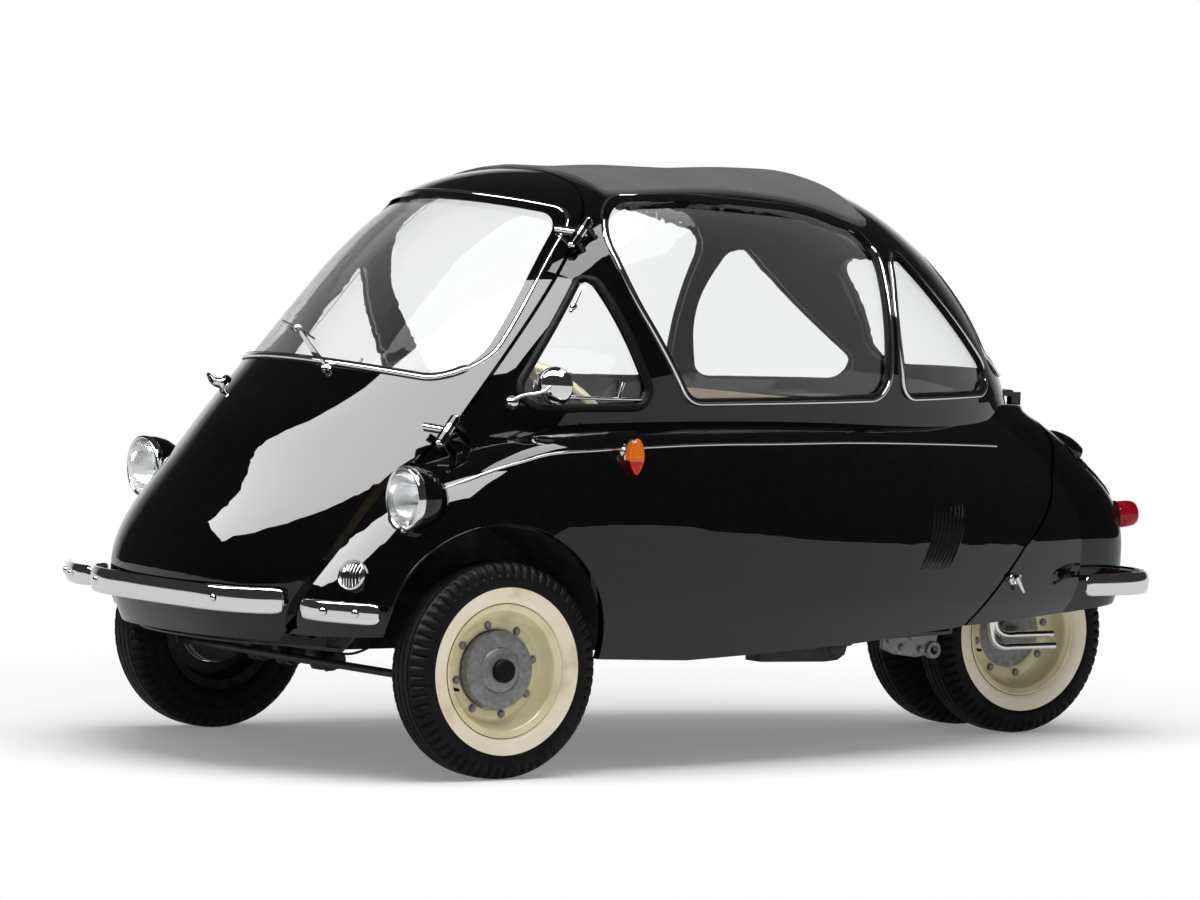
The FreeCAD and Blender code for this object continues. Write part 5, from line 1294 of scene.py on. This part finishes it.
def stuffed(name, low, high, limit, voxel=0.012):
    """A cushion between two corners, swollen by no more than limit."""
    size = Vector(high) - Vector(low)
    bpy.ops.mesh.primitive_cube_add(size=1.0, location=(Vector(low) + Vector(high)) / 2, scale=size)
    cushion = settle(bpy.context.object)
    cushion.name = name
    with_modifier(cushion, "BEVEL", width=min(size) * 0.22, segments=3)
    with_modifier(cushion, "REMESH", mode="VOXEL", voxel_size=voxel)
    before = [vertex.co.copy() for vertex in cushion.data.vertices]
    cloth = cushion.modifiers.new("Cloth", "CLOTH")
    cloth.settings.use_pressure = True
    cloth.settings.uniform_pressure_force = PRESSURE
    cloth.settings.effector_weights.gravity = 0.0
    cloth.settings.quality = 5
    cloth.point_cache.frame_end = CLOTH_FRAMES
    for frame_number in range(1, CLOTH_FRAMES + 1):
        bpy.context.scene.frame_set(frame_number)
    only(cushion)
    bpy.ops.object.modifier_apply(modifier=cloth.name)
    bpy.context.scene.frame_set(1)
    for vertex, start in zip(cushion.data.vertices, before):
        move = vertex.co - start
        if move.length > limit:
            vertex.co = start + move.normalized() * limit
    with_modifier(cushion, "SMOOTH", factor=0.5, iterations=2)
    with_modifier(cushion, "SUBSURF", levels=1, render_levels=1)
    return smooth(cushion, 80)


def upholster(piece, node):
    """Press a cushion flat where it would pass the CAD seat's room, and finish it."""
    low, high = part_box(node)
    for vertex in settle(piece).data.vertices:
        vertex.co = Vector([min(max(value, least), most) for value, least, most in zip(vertex.co, low, high)])
    riding(dress(piece, tan), "body", "seat_fabric", node)
    print(piece.name, "vertices", len(piece.data.vertices))


# %% Make the bench and the rear seat
CUSHIONS = (("bench_cushion", "front_seat", (0.012, 0.012, 0.014), 0.016),
            ("rear_cushion", "rear_seat", (0.012, 0.010, 0.014), 0.014))
for name, node, margin, limit in CUSHIONS:
    low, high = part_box(node)
    upholster(stuffed(name, low + Vector(margin), high - Vector(margin), limit), node)

# %% Make the leaning backrest
BACK_FOOT, BACK_TOP = at(0, 1030, 520), at(0, 1090, 820)
HALF_WIDTH, HALF_DEPTH, BACK_MARGIN = 0.388, 0.022, 0.012
up_the_back = BACK_TOP - BACK_FOOT
lean = math.atan2(up_the_back.y, up_the_back.z)
backrest = stuffed("backrest_cushion", (-HALF_WIDTH, -HALF_DEPTH, BACK_MARGIN),
                   (HALF_WIDTH, HALF_DEPTH, up_the_back.length - BACK_MARGIN), 0.010, voxel=0.010)
backrest.matrix_world = Matrix.Translation(BACK_FOOT) @ Matrix.Rotation(-lean, 4, "X")
upholster(backrest, "front_backrest")

# %% [markdown]
# ## Exhaust
# Two thin bright pipes leave the engine side by side and turn back past the wheel.
# The visible ends are open: the end face is inset, and its middle is pushed in.

# %% Bend the tail pipes
EXHAUST = ((204, 1662, 239), (214, 1646, 212))
EXHAUST_END, BORE_DEPTH, TUBE_RADIUS = 1812, 30, 8.5


def square_cut(face, first, last):
    """True for a face across the pipe that lies between two stations."""
    return at(0, first, 0).y < face.center.y < at(0, last, 0).y and abs(face.normal.y) > 0.9


exhaust_parts = []
for x, station, z in EXHAUST:
    route = [at(x, station - 18, 300), at(x, station - 16, z + 34), at(x + 1, station - 8, z + 12),
             at(x + 2, station + 12, z + 1), at(x + 2, station + 45, z), at(x + 2, 1745, z),
             at(x + 2, EXHAUST_END, z)]
    tube = dress(swept("tail_pipe", route, TUBE_RADIUS, sides=5, fine=10), chrome, dark_iron)
    pushed_in = {"value": (0, -BORE_DEPTH / 1000, 0)}
    on_faces(tube, lambda face: square_cut(face, EXHAUST_END - 2, EXHAUST_END + 2),
             lambda: bpy.ops.mesh.inset(thickness=0.0015),
             lambda: bpy.ops.mesh.extrude_region_move(TRANSFORM_OT_translate=pushed_in))
    colour_faces(tube, 1, lambda face: square_cut(face, EXHAUST_END - BORE_DEPTH - 2, EXHAUST_END - 1))
    exhaust_parts.append(tube)
stub_route = [at(150, 1512, 430), at(205, 1560, 420), at(210, 1625, 330), at(209, 1640, 290)]
stub = swept("exhaust_stub", stub_route, 13, sides=4, sizes=[1.5, 1.3, 1.0, 0.9])
exhaust_parts.append(dress(stub, dark_iron))
riding(joined("exhaust", exhaust_parts), "body", "chrome", "exhaust_pipes")
print("pipes", len(EXHAUST))

# %% [markdown]
# ## Tail latches
# A latch with a round chromed rose and a T-shaped handle closes each side of the
# tail cover. The handle hangs down and backwards.

# %% Make the tail latches
LATCH_ROSE = ((-3, 0), (-3, 14), (2, 14), (5, 12.5), (7, 9.5), (13, 8), (17, 7), (17, 0))
rose_place, rose_axis = from_side("tail_cover", 1512, 392)
latch_way = square_to(Vector((0.0, 0.72, -0.69)), rose_axis)
cross_way = latch_way.cross(rose_axis).normalized()
latch_top = rose_place + rose_axis * 0.014
handle_path = [latch_top + latch_way * along for along in (-0.012, 0.006, 0.022, 0.042)]
cross_path = [latch_top + cross_way * along for along in (-0.014, 0, 0.014)]
latch_parts = [turned("latch_rose", LATCH_ROSE, rose_place, rose_axis, 36, 40),
               swept("latch_handle", handle_path, 5.2, sizes=[1.2, 1.25, 0.95, 0.75], sides=4),
               swept("latch_cross", cross_path, 3.6, sizes=[0.8, 1.1, 0.8])]
latch = dress(joined("tail_latch", latch_parts), chrome)
riding(on_both_sides("tail_latch_set", latch), "tail", "chrome", "tail_latches")
print("latch rose at", rose_place)

# %% [markdown]
# ## Scoops and slots of the tail cover
# Two duck-bill scoops stand on the tail cover and open backwards, and slots beside
# them let hot air out. A scoop is an arched section drawn along a falling line, with
# its end face pushed in. Each slot is a raised lip with soft ends.

# %% Raise the scoops
SCOOP_SECTION = ((-43, -28), (-46, -12), (-43, 4), (-33, 15), (-17, 22), (0, 24), (17, 22), (33, 15),
                 (43, 4), (46, -12), (43, -28))
SCOOP_LINE = ((1792, 694), (1826, 693), (1860, 682), (1878, 673), (1893, 665))
SCOOP_SIZES = (0.85, 1.0, 0.98, 0.92, 0.80)
scoop_path = [at(162, station, z) for station, z in SCOOP_LINE]
scoop = swept("scoop", scoop_path, 0, profile=SCOOP_SECTION, sizes=SCOOP_SIZES)
on_faces(scoop, lambda face: face.center.y > scoop_path[-1].y - 0.012 and face.normal.y > 0.7,
         lambda: bpy.ops.mesh.inset(thickness=0.003),
         lambda: bpy.ops.mesh.extrude_region_move(TRANSFORM_OT_translate={"value": (0, -0.05, 0.012)}))
riding(on_both_sides("scoops", dress(scoop, paint)), "tail", "body_paint", "air_scoops")

# %% Press the slots
SLOT_COUNT, SLOT_PITCH = 5, 26
deck_slots = []
for number in range(SLOT_COUNT):
    line = [from_above("tail_cover", 232 + 9 * step - 3 * number, 1800 + number * SLOT_PITCH + 7 * step, 0.5)
            for step in range(5)]
    deck_slots.append(swept("slot_lip", line, 4.0, sizes=[0.3, 0.9, 1.0, 0.9, 0.3]))
riding(on_both_sides("tail_slots", dress(joined("tail_slot_row", deck_slots), paint)), "tail", "body_paint")

# %% [markdown]
# ## Door hinges
# The nose opens sideways on two outside hinges. Each has a black eye on the door
# between two eyes on the pillar, and a bright pin with a domed head at both ends.

# %% Add the heads of the hinge pins
HINGE_LOW, HINGE_HIGH = at(527, -77, 752), at(452, 300, 1182)
HINGE_HEAD = ((0, 0), (0, 8.5), (3, 8.5), (6, 6.5), (8, 3), (8.5, 0))
hinge_way = (HINGE_HIGH - HINGE_LOW).normalized()
pin_heads = [turned("pin_head", HINGE_HEAD, place + way * 0.036, way, 28, 40)
             for place in (HINGE_LOW, HINGE_HIGH) for way in (hinge_way, -hinge_way)]
riding(dress(joined("hinge_pins", pin_heads), chrome), "body", "chrome")

# %% [markdown]
# ## Under the car
# What shows below the nose and the sills is dark: a tube held by three cast brackets
# behind the steering rod, a small black box under the floor, and the grey casting
# with a ring eye that carries the engine. Flat castings are an outline pushed to
# their thickness, with rounded edges.


# %% Flat castings
def plate(name, outline, inner, outer):
    """An outline of (station, height) pushed across the car from inner to outer."""
    bpy.ops.mesh.primitive_circle_add(vertices=len(outline), radius=0.01, fill_type="NGON")
    piece = bpy.context.object
    piece.name = name
    for vertex, (station, z) in zip(piece.data.vertices, outline):
        vertex.co = at(inner, station, z)
    thickness = {"value": ((outer - inner) / 1000, 0, 0)}
    in_edit(piece, lambda: bpy.ops.mesh.extrude_region_move(TRANSFORM_OT_translate=thickness), face_outwards)
    return smooth(with_modifier(piece, "BEVEL", width=0.003, segments=2), 40)


LEFTWARDS = (1, 0, 0)

# %% Nose tube and its brackets
NOSE_TUBE = ((0, 0), (0, 18), (2, 20), (14, 20), (15, 22), (19, 22), (20, 20), (392, 20), (392, 0))
NOSE_BRACKET = ((-98, 268), (-92, 214), (-78, 186), (-44, 186), (-30, 214), (-20, 268))
NOSE_CLAMP = ((0, 21), (0, 27), (26, 27), (26, 21))
BRACKET_BOLTS = ((-84, 232), (-40, 232), (-61, 192))
PIPE_ROUTE = (at(20, -70, 262), at(58, -78, 238), at(108, -64, 230), at(150, -30, 250), at(164, -16, 266))
nose_parts = [turned("nose_tube", NOSE_TUBE, at(62, -60, 212), (-1, 0, 0), 32)]
for inner, outer in ((-28, 12), (-180, -146), (-308, -276)):
    places = [at(outer + 0.5, station, z) for station, z in BRACKET_BOLTS]
    nose_parts += [plate("nose_bracket", NOSE_BRACKET, inner, outer),
                   turned("nose_clamp", NOSE_CLAMP, at(outer - 8, -60, 212), LEFTWARDS, 32),
                   copied("nose_bolts", bolt, places, LEFTWARDS)]
nose_parts.append(swept("brake_pipe", PIPE_ROUTE, 3.0))
riding(dress(joined("nose_castings", nose_parts), dark_iron), "body", "underside_paint")

# %% Floor box and engine casting
FLOOR_BOX = ((880, 269), (880, 208), (1060, 204), (1095, 207), (1115, 219), (1122, 240), (1122, 269))
MOUNT = ((-4, 0), (-4, 17), (2, 17), (4, 14), (4, 0))
floor_box = [plate("floor_box", FLOOR_BOX, 290, 352),
             turned("mount", MOUNT, at(352, 1086, 234), LEFTWARDS, 32)]
riding(dress(joined("floor_box_unit", floor_box), dark_iron), "body", "underside_paint")

CASTING = ((1345, 300), (1345, 212), (1382, 198), (1440, 190), (1470, 194), (1498, 222), (1508, 262),
           (1508, 300))
RIB = ((1350, 262), (1350, 254), (1496, 268), (1496, 276))
EYE = ((0, 11), (0, 18), (2, 20), (17, 20), (19, 18), (19, 11))
CASTING_BOLTS = ((1362, 232), (1398, 214), (1426, 238), (1452, 208), (1480, 250), (1384, 274))
bolt_places = [at(176.5, station, z) for station, z in CASTING_BOLTS]
casting = [plate("engine_casting", CASTING, 163, 176), plate("casting_rib", RIB, 175, 182),
           turned("ring_eye", EYE, at(164, 1488, 206), LEFTWARDS, 40),
           copied("casting_bolts", bolt, bolt_places, LEFTWARDS)]
casting_set = dress(joined("engine_casting_set", casting), aluminium)
riding(on_both_sides("engine_castings", casting_set), "body", "cast_metal")
print("parts under the car", len(nose_parts), len(floor_box), len(casting))

# %% [markdown]
# The steering rod ends in ball joints. Each is kept clean by a rubber boot, which is
# turned like a small vase, with one fold round it.

# %% Boots on the ball joints
BOOT = ((-2, 0), (-2, 13), (1, 14.5), (4, 12), (6, 13), (9, 10), (11, 8), (11, 0))
rod_low, rod_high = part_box("track_rod")
ball_x, ball_y, ball_z = rod_high.x - 0.012, (rod_low.y + rod_high.y) / 2, rod_high.z
boots = [turned("boot", BOOT, (side * ball_x, ball_y, ball_z), (0, 0, 1), 28, 40) for side in (1, -1)]
riding(dress(joined("ball_joint_boots", boots), rubber), "track_rod", "rubber")
bpy.data.objects.remove(bolt)
